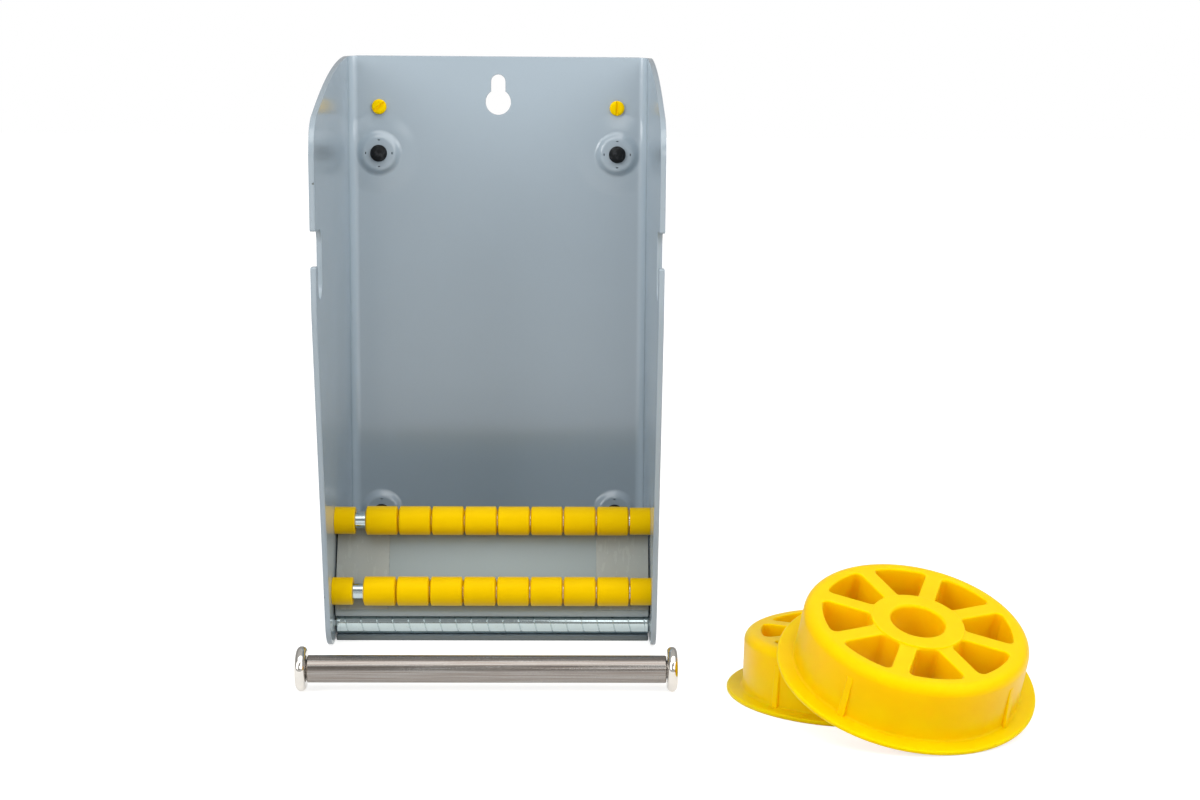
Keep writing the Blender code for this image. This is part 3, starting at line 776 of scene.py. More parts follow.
@dataclass(frozen=True)
class PolishedNickel(Finish):
    """Nickel plate, polished, with hair scratches."""

    def shade(self, shader: Shader) -> None:
        """Faint warm clouds and hair scratches round the cap.

        Args:
            shader: The material's nodes.
        """
        hair = shader.noise(0.00022, stretch=(1.0, 0.12, 0.12))
        light, dark = scaled(self.colour, 1.05), scaled(self.colour, 0.92)
        shader.set(
            Base_Color=shader.blend(shader.noise(0.0030, 3.0), dark, light), Metallic=1.0,
            Roughness=self.roughness + hair.ramp(0.55, 0.85) * 0.12,
        )
        shader.bump(hair, 0.000002)


@dataclass(frozen=True)
class BeigeTape(Finish):
    """Clear tape gone beige, laid on paint, with faint creases and trapped air."""

    glue: Triple = (0.345, 0.365, 0.345)

    def shade(self, shader: Shader) -> None:
        """Glue clouds under the film, creases across it and small bubbles.

        Args:
            shader: The material's nodes.
        """
        crease = shader.noise(0.0016, 3.0, 0.6, (1.0, 0.5, 0.16))
        bubble = shader.noise(0.0009).ramp(0.66, 0.74)
        cloud = shader.noise(0.007, 4.0, 0.6).ramp(0.35, 0.75)
        tone = shader.blend(cloud * 0.7, self.colour, self.glue)
        shader.set(
            Base_Color=shader.blend(bubble * 0.3, tone, scaled(self.colour, 1.25)),
            Roughness=self.roughness + (crease - 0.5) * 0.16,
        )
        shader.bump(crease + bubble * 0.5, 0.000012)


GREY_PAINT = GreyPaint("grey_paint", "grey_paint", (0.368, 0.438, 0.492), 0.16)
# Darker copy of the grey paint for the guide plate: painted shade, standing in for the shade that the plate
# lies in behind and between the rollers.
SHADED_GUIDE_PAINT = GreyPaint("shaded_guide_paint", "grey_paint", (0.285, 0.338, 0.350), 0.16)
ROLLER_PLASTIC = YellowPlastic("roller_plastic", "yellow_plastic", (0.800, 0.505, 0.0003), 0.36)
PLUG_PLASTIC = YellowPlastic("plug_plastic", "yellow_plastic", (0.960, 0.630, 0.0003), 0.36)
HUB_PLASTIC = YellowPlastic("hub_plastic", "yellow_plastic", (0.970, 0.580, 0.0003), 0.36, 0.7)
BLACK_RUBBER = BlackRubber("black_rubber", "black_rubber", (0.008, 0.009, 0.010), 0.58)
BRIGHT_ZINC = ZincPlate("bright_zinc", "bright_zinc", (0.51, 0.595, 0.605), 0.10)
SATIN_STEEL = SatinSteel("satin_steel", "satin_steel", (0.375, 0.362, 0.342), 0.25)
POLISHED_NICKEL = PolishedNickel("polished_nickel", "polished_nickel", (0.72, 0.69, 0.64), 0.05)
BEIGE_TAPE = BeigeTape("beige_tape", "beige_tape", (0.325, 0.352, 0.335), 0.26)


@dataclass
class BodyShell:
    """Body folded from one sheet: it is laid out flat, folded along its bends and given its thickness."""

    half_width: float = INNER_HALF
    sheet: float = BODY_SHEET
    bend: float = 0.0036
    bend_cuts: int = 6
    back_height: float = 0.2228
    wall_depth: float = 0.1205
    crown_depth: float = 0.0526
    crown_fall: float = 0.0047
    crown_radius: float = 0.398
    front_fall: float = 0.0276
    top_corner: float = 0.015
    break_depth: float = 0.1172
    break_height: float = 0.131
    break_radius: float = 0.060
    nose_depth: float = 0.085
    nose_radius: float = 0.0125
    heel_radius: float = 0.0016
    bottom_depth: float = 0.0712
    bottom_slit: float = 0.0003
    neck_gap: float = 0.0002
    relief_reach: Pair = (0.0003, 0.0004)
    relief_corner: float = 0.0003
    edge_corner: float = 0.0008
    mouth: Pair = (0.1462, 0.1586)
    pocket: Pair = (0.0995, 0.1105)
    pocket_low: float = 0.1340
    pocket_round: float = 0.998
    lip_radius: float = 0.0025
    keyhole_height: float = 0.2046
    keyhole_radius: float = 0.0051
    keyhole_neck: float = 0.0029
    keyhole_length: float = 0.0081
    keyhole_steps: tuple[int, int] = (44, 20)
    dimple: tuple[Pair, ...] = (
        (0.00955, 0.0), (0.0093, 0.00002), (0.0090, 0.00008), (0.0086, 0.00024), (0.0082, 0.00048),
        (0.0078, 0.00078), (0.0074, 0.00109), (0.0070, 0.00138), (0.0066, 0.00160), (0.0062, 0.00174),
        (0.0058, 0.00180),
    )
    foot_hole: float = 0.0025
    notch_radius: float = 0.0053
    notch_size: Pair = (0.0008, 0.00026)
    plug_hole: float = 0.0023
    screw_hole: float = 0.0038
    rod_hole: float = 0.0025
    hole_steps: int = 32
    plug_steps: int = 24
    dimple_steps: int = 48
    edge_radius: float = 0.00032
    fold_margin: float = 0.00015
    bend_margin: float = 0.0003
    lip_size: Triple = (0.0001, 0.0006, 0.003)
    lip_slope: float = 0.3

    @property
    def bend_length(self) -> float:
        """Length of a bend along the sheet's inner face."""
        return self.bend * math.pi / 2

    @property
    def fold(self) -> float:
        """Distance from the middle at which the walls' bends start."""
        return self.half_width - self.bend

    @property
    def crease(self) -> float:
        """Height on the flat sheet at which the bottom plate's bend starts."""
        return self.bend + self.sheet

    def unrolled(self, depth: float) -> float:
        """Distance from the middle on the flat sheet of a place on a wall."""
        return self.fold + self.bend_length + depth - self.bend

    def front_edge(self, height: float) -> float:
        """Depth of the walls' front edge above its break.

        Args:
            height: A height above the break.

        Returns:
            The depth there.
        """
        top = self.back_height - self.front_fall
        share = (height - self.break_height) / (top - self.break_height)
        return self.break_depth + share * (self.wall_depth - self.break_depth)

    def half_outline(self) -> list[Vector]:
        """Right half of the flat sheet's outline.

        Returns:
            The line from the bottom plate's front edge to the top edge.
        """
        flap_end = self.crease - self.bend_length - (self.bottom_depth - self.bend)
        flap, neck = self.half_width - self.bottom_slit, self.fold - self.neck_gap
        wall = self.unrolled(self.bend) + self.neck_gap
        down, up = self.crease - self.bend_length - self.relief_reach[0], self.crease + self.relief_reach[1]
        low, high = self.mouth
        rear, front = self.pocket
        round_end = (front - rear) / 2
        slope = self.crown_fall / (self.crown_depth + self.sheet)
        wall_line = [
            (self.nose_depth, 0.0, self.nose_radius),
            (self.break_depth, self.break_height, self.break_radius),
            (self.front_edge(low), low, self.edge_corner),
            (front, low, self.lip_radius),
            (front, self.pocket_low, round_end * self.pocket_round),
            (rear, self.pocket_low, round_end * self.pocket_round),
            (rear, high, round_end),
            (self.front_edge(high), high, self.edge_corner),
            (self.wall_depth, self.back_height - self.front_fall, self.top_corner),
            (self.crown_depth, self.back_height - self.crown_fall, self.crown_radius),
            (self.bend, self.back_height - slope * self.crease, 0.0),
        ]
        corners = [
            (0.0, flap_end, 0.0), (flap, flap_end, self.edge_corner), (flap, down, self.relief_corner),
            (neck, down, self.relief_corner), (neck, up, self.relief_corner), (wall, up, 0.0),
            (wall, 0.0, self.heel_radius),
            *((self.unrolled(depth), height, radius) for depth, height, radius in wall_line),
            (self.fold, self.back_height, 0.0), (0.0, self.back_height, 0.0),
        ]
        return rounded(corners, closed=False)

    def keyhole(self) -> list[Vector]:
        """Outline of the keyhole, a round hole with a neck up from it.

        Returns:
            The outline.
        """
        hole, neck = self.keyhole_radius, self.keyhole_neck
        steps, neck_steps = self.keyhole_steps
        start = math.asin(neck / hole)
        turns = [start + (FULL_TURN - 2 * start) * i / steps for i in range(steps + 1)]
        line = [Vector((hole * math.sin(a), self.keyhole_height + hole * math.cos(a))) for a in turns]
        top = self.keyhole_height + self.keyhole_length
        bends = [math.pi * (1 - i / neck_steps) for i in range(neck_steps + 1)]
        return line + [Vector((neck * math.cos(a), top + neck * math.sin(a))) for a in bends]

    def folded(self, flat: Vector) -> Vector:
        """Place in the folded body of a place on the flat sheet.

        Args:
            flat: Place on the flat sheet, with the dimples' rise toward -Y.

        Returns:
            The same place after the three bends.
        """
        rise, down, aside = -flat.y, self.crease - flat.z, abs(flat.x) - self.fold
        if down > 0 and abs(flat.x) < self.half_width - self.fold_margin:
            turn = min(down, self.bend_length) / self.bend
            depth = self.bend - self.bend * math.cos(turn) + max(0.0, down - self.bend_length)
            return place(flat.x, depth, self.crease - self.bend * math.sin(turn))
        if aside <= 0:
            return place(flat.x, rise, flat.z)
        turn = min(aside, self.bend_length) / self.bend
        radius = self.bend - rise
        depth = self.bend - radius * math.cos(turn) + max(0.0, aside - self.bend_length)
        return place(math.copysign(self.fold + radius * math.sin(turn), flat.x), depth, flat.z)

    def build_dimple(self) -> Solid:
        """One pressed dimple about the origin, with its foot hole and four notches.

        Returns:
            The dimple, as a sheet without thickness.
        """
        dimple = Solid.begin("dimple")
        dimple.trace([Axis.Y.point(*point) for point in self.dimple], closed=False)
        dimple.spin(Axis.Y, self.dimple_steps)
        inner, rise = self.dimple[-1]
        width, height = (size / 2 for size in self.notch_size)
        corners = [(-width, -height), (width, -height), (width, height), (-width, height)]
        notch = rounded([(*corner, height / 2) for corner in corners], closed=True, step=30)
        lines = [ring(0, 0, self.foot_hole, self.hole_steps)]
        for quarter in range(4):
            turn = Matrix.Rotation(quarter * math.pi / 2, 2)
            lines.append([turn @ (point + Vector((0, self.notch_radius))) for point in notch])
        for line in lines:
            dimple.trace(Vector((u, -rise, v)) for u, v in line)
        dimple.weld().pick(lambda spot: math.hypot(spot.x, spot.z) < inner + HAIR)
        bpy.ops.mesh.fill(use_beauty=True)
        return dimple.done()

    def build_flat(self, foot_spots: Sequence[Pair]) -> Solid:
        """Flat sheet with all its holes, cut along the lines where it bends.

        Args:
            foot_spots: Places of the dimples on the back plate.

        Returns:
            The sheet, without thickness.
        """
        sheet = Solid.begin("body_shell_sheet")
        half = self.half_outline()
        lines = [half + [Vector((-point.x, point.y)) for point in half[-2:0:-1]], self.keyhole()]
        lines += [ring(x, z, self.dimple[0][0], self.dimple_steps) for x, z in foot_spots]
        plugs = [side.value * PLUG_ACROSS for side in Side]
        lines += [ring(x, PLUG_HEIGHT, self.plug_hole, self.plug_steps) for x in plugs]
        holes = {UPPER_SHAFT: self.screw_hole, LOWER_SHAFT: self.screw_hole, ROD_AXIS: self.rod_hole}
        for side in Side:
            for (depth, height), radius in holes.items():
                lines.append(ring(side.value * self.unrolled(depth), height, radius, self.hole_steps))
        for line in lines:
            sheet.trace(Vector((u, 0, v)) for u, v in line)
        sheet.weld()
        bpy.ops.mesh.fill(use_beauty=True)
        for part in range(self.bend_cuts + 1):
            along = self.bend_length * part / self.bend_cuts
            cuts = [(Vector((side.value * (self.fold + along), 0, 0)), Axis.X) for side in Side]
            for spot, axis in (*cuts, (Vector((0, 0, self.crease - along)), Axis.Z)):
                bpy.ops.mesh.select_all(action="SELECT")
                bpy.ops.mesh.bisect(plane_co=spot, plane_no=axis.value)
        return sheet.done()

    def build(self) -> None:
        """Lays out the sheet, presses the dimples, folds it, gives it its thickness and paints it."""
        foot_spots = [(side.value * FOOT_ACROSS, height) for height in FOOT_HEIGHTS.values() for side in Side]
        shell, dimple = self.build_flat(foot_spots), self.build_dimple()
        shell.absorb([dimple.copied("pressed", Matrix.Translation((x, 0, z))) for x, z in foot_spots])
        dimple.remove()
        shell.edit().weld().outward().done()
        mesh = shell.piece.data
        if max(mesh.polygons, key=lambda face: face.area).normal.y > 0:
            mesh.flip_normals()
        for vertex in mesh.vertices:
            vertex.co = self.folded(vertex.co)
        for slot in ("face", "rim"):
            mesh.materials.append(bpy.data.materials.new(slot))
        shell.modify(
            "SOLIDIFY", thickness=self.sheet, offset=-1.0, use_even_offset=True,
            use_quality_normals=True, material_offset_rim=1,
        )
        shell.soften(self.edge_radius, angle=55, segments=2)
        self.mark_paint(mesh)
        shell.dress("body_shell", GREY_PAINT)

    def bend_highlight_share(self, spot: Vector) -> float:
        """Share of the painted highlight along the bends at a place.

        Args:
            spot: A place on the shell.

        Returns:
            Nought on the flat, and up to one in the middle of a bend.
        """
        aside, back = abs(spot.x) - self.fold, self.bend - (BACK_FACE_Y - spot.y)
        if min(aside, back) <= 0 or abs(math.hypot(aside, back) - self.bend) > self.bend_margin:
            return 0.0
        return math.sin(2 * math.atan2(aside, back))

    def on_lip(self, face: bpy.types.MeshPolygon) -> bool:
        """Whether a face is on the front edge of the bottom plate.

        Args:
            face: A face of the shell.

        Returns:
            True for a face on that edge.
        """
        (x, y, z), (side, reach, top) = face.center, self.lip_size
        inside = abs(x) < self.half_width - side and z < top and BACK_FACE_Y - y > self.bottom_depth - reach
        return inside and abs(face.normal.y) > self.lip_slope

    def mark_paint(self, mesh: bpy.types.Mesh) -> None:
        """Marks the bends, which get a painted highlight, the bottom plate's front edge, which gets painted
        shade, and the cut edges, where the paint chips and is darker.

        Args:
            mesh: The shell's mesh, with its cut edges in the second material slot.
        """
        marks = {
            # bend carries the painted highlight along the bends; lip carries the painted shade on the bottom
            # plate's front edge.
            "bend": ("POINT", [self.bend_highlight_share(vertex.co) for vertex in mesh.vertices]),
            "lip": ("FACE", [float(self.on_lip(face)) for face in mesh.polygons]),
            "rim": ("FACE", [float(face.material_index) for face in mesh.polygons]),
        }
        for name, (domain, values) in marks.items():
            mesh.attributes.new(name, "FLOAT", domain).data.foreach_set("value", values)
        for face in mesh.polygons:
            face.material_index = 0


@dataclass
class Foot:
    """Push-in rubber foot: a pad behind the back plate, a stem and a bulb in front of its dimple."""

    pad: float = 0.0063
    pad_taper: float = 0.0012
    stem: float = 0.0022
    bulb: float = 0.0034
    bulb_height: float = 0.0024
    bulb_side: float = 0.0007
    dome: tuple[Triple, ...] = ((0.86, 0.0007, 0.0012), (0.45, 0.00008, 0.0012))
    seat: float = -0.0005
    front: float = 0.0020
    end: float = -0.0065

    def build(self) -> None:
        """Turns one foot, copies it to its four places and dresses the copies."""
        end, seat, front = self.end, self.seat, self.front
        corners = [
            (0.0, end, 0.0), (self.pad - self.pad_taper, end, 0.0008), (self.pad, seat, 0.0003),
            (self.stem, seat, 0.0), (self.stem, front, 0.0), (self.bulb, front, 0.0004),
            (self.bulb, front + self.bulb_side, 0.0005),
            *domed(self.bulb, front + self.bulb_height, self.dome),
        ]
        form = Solid.turned("foot", corners, Axis.Y, step=15, steps=40)
        for row, height in FOOT_HEIGHTS.items():
            for side in Side:
                node = f"foot_{row}_{side.label}"
                spot = Matrix.Translation(place(side.value * FOOT_ACROSS, 0, height))
                form.copied(f"{node}_rubber", spot).dress(node, BLACK_RUBBER)
        form.remove()


@dataclass
class Plug:
    """Slotted plug that closes a small hole in the back plate."""

    head: float = 0.0030
    shank: float = 0.0020
    seat: float = 0.0003
    barb: float = -0.0023
    barb_share: float = 1.3
    tip: float = -0.0036
    tip_share: float = 0.7
    rim: float = 0.0010
    crown: float = 0.0016
    dome: tuple[Triple, ...] = ((0.78, 0.00015, 0.0008),)
    slot_half: Pair = (0.0045, 0.00045)
    slot_depth: float = 0.0008
    turns: Pair = (math.radians(40), math.radians(88))
    edge_radius: float = 0.00012

    def build(self) -> None:
        """Turns both plugs, cuts their slots and dresses them."""
        head, shank = self.head, self.shank
        corners = [
            (0.0, self.tip, 0.0), (shank * self.tip_share, self.tip, 0.0002),
            (shank * self.barb_share, self.barb, 0.0002), (shank, self.barb, 0.0), (shank, self.seat, 0.0),
            (head, self.seat, 0.0), (head, self.rim, 0.0003), *domed(head, self.crown, self.dome),
        ]
        for side, turn in zip(Side, self.turns):
            spot = place(side.value * PLUG_ACROSS, 0, PLUG_HEIGHT)
            node = f"plug_{side.label}"
            plug = Solid.turned(f"{node}_head", corners, Axis.Y, spot, step=12, steps=48)
            start = spot - Vector((0, self.crown + SLOT_LEAD, 0))
            plug.slotted(start, Vector((0, SLOT_LEAD + self.slot_depth, 0)), self.slot_half, turn)
            plug.soften(self.edge_radius, angle=60, segments=2).dress(node, PLUG_PLASTIC)


@dataclass
class RollerRow:
    """Fixed shaft between the walls with a collar and a screw at each end and loose rollers on it."""

    name: str
    depth: float
    height: float
    half_width: float = INNER_HALF
    gap: float = 0.0003
    count: int = 8
    radius: float = ROLLER_RADIUS
    bore: float = 0.0033
    length: float = 0.0124
    slit: float = 0.00015
    chamfer: Pair = (0.00055, 0.0014)
    corner: float = 0.0004
    collar_radius: float = 0.0052
    collar_length: float = 0.0075
    shaft_radius: float = 0.0030
    shaft_hole: float = 0.00205
    screw_head: float = 0.0035
    screw_rim: float = 0.0003
    screw_shank: float = 0.00175
    screw_length: float = 0.0095
    slot_half: Pair = (0.006, 0.00045)
    slot_depth: float = 0.0007
    slot_turns: Triple = (25.0, 40.0, 30.0)
    screw_edge: float = 0.0001
    roller_turn: float = 2.4
    row_turn: float = 90.0

    @property
    def centre(self) -> Vector:
        """Middle of the shaft."""
        return place(0, self.depth, self.height)

    def build(self) -> None:
        """Makes the shaft, collars, screws and rollers and dresses them."""
        self.build_shaft()
        for side in Side:
            self.build_collar(side)
            self.build_screw(side)
        self.build_rollers()

    def build_shaft(self) -> None:
        """Turns the plain shaft, with a screw hole in each end."""
        half, hole = self.half_width - self.gap, self.shaft_hole
        floor = half - self.screw_length
        end = [(0.0, floor, 0.0), (hole, floor, 0.0), (hole, half, 0.0), (self.shaft_radius, half, 0.0003)]
        shaft = Solid.turned(f"{self.name}_shaft_bar", both_ends(end), Axis.X, self.centre, step=30, steps=48)
        shaft.dress(f"{self.name}_shaft", BRIGHT_ZINC)

    def build_collar(self, side: Side) -> None:
        """Turns one end collar, rounded where it faces the rollers.

        Args:
            side: Which end.
        """
        half = self.collar_length / 2
        wall, bore, outer = half + self.gap - HAIR, self.bore, self.collar_radius
        corners = [(bore, wall, 0.0001), (outer, wall, 0.0001), (outer, -half, 0.0005), (bore, -half, 0.0003)]
        spot = self.centre + side.out * (self.half_width - self.gap - half)
        node = f"{self.name}_collar_{side.label}"
        collar = Solid.turned(f"{node}_ring", corners, Axis.X, spot, side.value, closed=True, step=22)
        collar.dress(node, ROLLER_PLASTIC)

    def build_screw(self, side: Side) -> None:
        """Turns one countersunk shaft screw and cuts its slot.

        Args:
            side: Which end.
        """
        head, shank = self.screw_head, self.screw_shank
        corners = [
            (0.0, 0.0, 0.0), (head, 0.0, 0.00015), (head, self.screw_rim, 0.0001),
            (shank, self.screw_rim + head - shank, 0.0), (shank, self.screw_length, 0.0002),
            (0.0, self.screw_length, 0.0),
        ]
        spot = self.centre + side.out * (self.half_width + BODY_SHEET)
        node = f"{self.name}_screw_{side.label}"
        screw = Solid.turned(f"{node}_head", corners, Axis.X, spot, -side.value, steps=48)
        start, into = spot + side.out * SLOT_LEAD, -side.out * (SLOT_LEAD + self.slot_depth)
        first, by_row, by_side = self.slot_turns
        turn = first + by_row * self.height / UPPER_SHAFT[1] + by_side * side.value
        screw.slotted(start, into, self.slot_half, math.radians(turn))
        screw.soften(self.screw_edge, angle=60, segments=2).dress(node, BRIGHT_ZINC)

    def build_rollers(self) -> None:
        """Turns one roller and copies it along the shaft."""
        reach = self.length / 2
        along, into = self.chamfer
        end = [
            (self.bore, reach, self.corner / 2), (self.radius - into, reach, self.corner),
            (self.radius, reach - along, self.corner),
        ]
        form = Solid.turned("roller", both_ends(end), Axis.X, closed=True, step=15)
        last = self.half_width - 2 * self.gap - self.collar_length - reach
        for number in range(1, self.count + 1):
            node = f"{self.name}_{number}"
            across = last - (self.count - number) * (self.length + self.slit)
            turn = Matrix.Rotation(number * self.roller_turn + self.depth * self.row_turn, 4, "X")
            spot = Matrix.Translation(place(across, self.depth, self.height)) @ turn
            form.copied(f"{node}_drum", spot).dress(node, ROLLER_PLASTIC, node)
        form.remove()


@dataclass
class PeelRod:
    """Rod at the bottom front with a helical groove, plain ends and a journal in each wall."""

    radius: float = 0.0045
    journal: float = 0.0022
    shoulders: Pair = (0.0595, 0.0597)
    tip: float = 0.0617
    plain: float = 0.0015
    spigot: Pair = (0.0001, 0.001)
    pitch: float = 0.0060
    groove_width: float = 0.00045
    groove_floor: Pair = (0.3, 0.7)
    groove_depth: float = 0.00018
    steps: int = 40

    def build(self) -> None:
        """Screws one pitch of the grooved surface along the rod, trims it, adds the ends and dresses it."""
        starts = [shoulder - self.plain for shoulder in self.shoulders]
        turns = math.ceil(2 * max(starts) / self.pitch) + 1
        land, low = self.pitch - self.groove_width, self.radius - self.groove_depth
        corners = [
            (0.0, self.radius, 0.0), (land, self.radius, 0.00008),
            *((land + self.groove_width * share, low, 0.00012) for share in self.groove_floor),
            (self.pitch, self.radius, 0.0),
        ]
        away = -turns * self.pitch / 2
        line = rounded(corners, closed=False, step=25)
        rod = Solid.begin("peel_rod_grooved")
        rod.trace([Vector((away + along, 0, radius)) for along, radius in line], closed=False).weld().done()
        rod.modify(
            "SCREW", axis="X", angle=FULL_TURN, screw_offset=self.pitch, iterations=turns,
            steps=self.steps, render_steps=self.steps, use_merge_vertices=True, merge_threshold=1e-6,
        )
        rod.edit().weld()
        for side, start in zip(Side, starts):
            bpy.ops.mesh.select_all(action="SELECT")
            bpy.ops.mesh.bisect(plane_co=side.out * start, plane_no=side.out, use_fill=True, clear_outer=True)
        rod.outward()
        bpy.ops.transform.translate(value=place(0, *ROD_AXIS))
        rod.done().absorb([self.build_end(side, start) for side, start in zip(Side, starts)])
        rod.dress("peel_rod", BRIGHT_ZINC, "peel_rod")

    def build_end(self, side: Side, start: float) -> Solid:
        """Plain end of the rod with its journal.

        Args:
            side: Which end.
            start: Where the groove stops.

        Returns:
            The end.
        """
        inner, root = self.radius - self.groove_depth - self.spigot[0], start - self.spigot[1]
        shoulder = start + self.plain
        corners = [
            (0.0, root, 0.0), (inner, root, 0.0), (inner, start, 0.0), (self.radius, start, 0.0001),
            (self.radius, shoulder, 0.0004), (self.journal, shoulder, 0.0),
            (self.journal, self.tip, 0.0002), (0.0, self.tip, 0.0),
        ]
        spot = place(0, *ROD_AXIS)
        return Solid.turned("rod_end", corners, Axis.X, spot, side.value, step=22, steps=self.steps)


@dataclass
class GuidePlate:
    """Bent plate behind the rollers, with a tape strip along each side and two rivets in its foot."""

    half_width: float = 0.0595
    sheet: float = 0.0012
    bend: float = 0.0017
    web_gap: float = 0.0010
    top_reach: float = 0.0040
    crest: float = 0.0072
    nose_height: float = 0.0112
    hem: float = 0.0060
    hem_gap: float = 0.0003
    foot: float = 0.0145
    foot_height: float = 0.0023
    edge_radius: float = 0.0003
    strip_width: float = 0.020
    strip_thickness: float = 0.0004
    strip_gap: float = 0.0001
    strip_end: float = 0.0004
    strip_edge: float = 0.00012
    rivet_across: float = 0.035
    rivet_gap: float = 0.0003
    rivet_shank: float = 0.0016
    rivet_head: float = 0.0030
    rivet_crown: float = 0.0015
    rivet_dome: tuple[Triple, ...] = ((0.86, 0.0006, 0.0006), (0.3, 0.0001, 0.001))
    rivet_tail: float = 0.0026
    rivet_sink: Pair = (0.00015, 0.0014)

    def path(self) -> dict[str, Vector]:
        """Side-view corners of the plate's outer face.

        Returns:
            The corners by name, from the foot over the crest to the nose's hem.
        """
        upper = Vector(UPPER_SHAFT)
        down = (Vector(LOWER_SHAFT) - upper).normalized()
        back = Vector((down.y, -down.x))
        level = upper + back * (ROLLER_RADIUS + self.web_gap)
        top = level - down * self.top_reach
        nose = level + down * (level.y - self.nose_height) / -down.y
        fold = nose + back * (2 * self.bend + self.hem_gap)
        heel = Vector((top.x - self.crest, self.foot_height + self.sheet))
        toe, crest = heel - Vector((self.foot, 0)), Vector((heel.x, top.y))
        hem = fold - down * self.hem
        return {"toe": toe, "heel": heel, "crest": crest, "top": top, "nose": nose, "fold": fold, "hem": hem}

    def outline(self) -> list[Vector]:
        """Side view of the bent plate.

        Returns:
            The line along its outer face and back along its inner face.
        """
        outside = list(self.path().values())
        legs = [(onward - here).normalized() for here, onward in zip(outside, outside[1:])]
        normals = [Vector((leg.y, -leg.x)) for leg in legs]
        inside = []
        for corner, *beside in zip(outside, normals[:1] + normals, normals + normals[-1:]):
            middle = sum(beside, Vector((0, 0))).normalized()
            inside.append(corner + middle * self.sheet / middle.dot(beside[0]))
        line: list[Triple] = []
        for run in (outside, inside[::-1]):
            for index, corner in enumerate(run):
                before, after = corner - run[index - 1], run[(index + 1) % len(run)] - corner
                radius = self.bend if before.cross(after) < 0 else self.bend - self.sheet
                end = index in (0, len(run) - 1)
                line.append((*corner, self.edge_radius if end else max(radius, self.sheet / 4)))
        return rounded(line, closed=True, step=9)

    def build(self) -> None:
        """Bends the plate, lays the strips on it, sets the rivets and dresses them all."""
        outline = [place(-self.half_width, *spot) for spot in self.outline()]
        plate = Solid.pushed("guide_plate_bent", outline, Vector((2 * self.half_width, 0, 0)))
        plate.soften(self.edge_radius, angle=60, segments=3).dress("guide_plate", SHADED_GUIDE_PAINT)
        for side in Side:
            self.build_strip(side)
            self.build_rivet(side)

    def build_strip(self, side: Side) -> None:
        """Lays one tape strip on the plate's face.

        Args:
            side: Which strip.
        """
        path = self.path()
        top, nose = path["top"], path["nose"]
        down = (nose - top).normalized()
        forward = Vector((-down.y, down.x))
        near, far = forward * self.strip_gap, forward * (self.strip_gap + self.strip_thickness)
        first, final = top + down * self.bend, nose - down * (self.bend + self.strip_end)
        ribbon = [first + near, final + near, final + far, first + far]
        outline = [place(side.value * self.half_width, *spot) for spot in ribbon]
        node = f"guide_strip_{side.label}"
        strip = Solid.pushed(f"{node}_tape", outline, side.out * -self.strip_width)
        strip.soften(self.strip_edge, angle=40, segments=2).dress(node, BEIGE_TAPE)

    def build_rivet(self, side: Side) -> None:
        """Sets one rivet through the plate's foot and the bottom plate.

        Args:
            side: Which rivet.
        """
        neck = self.foot_height + self.rivet_gap + self.sheet
        (low, seat), shank = self.rivet_sink, self.rivet_shank
        corners = [
            (0.0, low, 0.0), (self.rivet_tail, low, 0.0001), (shank, seat, 0.0), (shank, neck, 0.0),
            (self.rivet_head, neck, 0.0002),
            *domed(self.rivet_head, neck + self.rivet_crown, self.rivet_dome),
        ]
        node = f"guide_rivet_{side.label}"
        spot = place(side.value * self.rivet_across, self.path()["heel"].x - self.foot / 2, 0)
        rivet = Solid.turned(f"{node}_head", corners, Axis.Z, spot, step=15, steps=40)
        rivet.dress(node, BRIGHT_ZINC)


@dataclass
class Spindle:
    """Roll spindle that lies in front: a bar with a round cap on a tenon at each end."""

    body: str = "spindle"
    across: float = 0.0004
    depth: float = 0.1388
    radius: float = 0.0048
    cap_radius: float = 0.00785
    cap_thickness: float = 0.0036
    cap_face: float = 0.06275
    cap_round: float = 0.98
    groove: float = 0.00025
    tenon: float = 0.0030
    tenon_length: float = 0.0024
    tenon_gap: float = 0.0003
    steps: int = 80

    def build(self) -> None:
        """Turns the bar and the two caps and dresses them."""
        centre = place(self.across, self.depth, self.cap_radius)
        tip, shoulder = self.cap_face + self.tenon_length - self.tenon_gap, self.cap_face - self.groove
        end = [
            (0.0, tip, 0.0), (self.tenon, tip, 0.0003), (self.tenon, shoulder, 0.0),
            (self.radius, shoulder, 0.0005),
        ]
        bar = Solid.turned("spindle_rod_bar", both_ends(end), Axis.X, centre, step=22, steps=self.steps)
        bar.dress("spindle_rod", SATIN_STEEL, self.body)
        socket, floor = self.tenon + self.tenon_gap, self.tenon_length
        edge, thick = self.cap_radius, self.cap_thickness
        rim = thick / 2 * self.cap_round
        corners = [
            (0.0, floor, 0.0), (socket, floor, 0.0), (socket, 0.0, 0.0001),
            (edge, 0.0, rim), (edge, thick, rim), (0.0, thick, 0.0),
        ]
        for side in Side:
            node = f"spindle_cap_{side.label}"
            spot = centre + side.out * self.cap_face
            cap = Solid.turned(f"{node}_round", corners, Axis.X, spot, side.value, step=9, steps=self.steps)
            cap.dress(node, POLISHED_NICKEL, self.body)


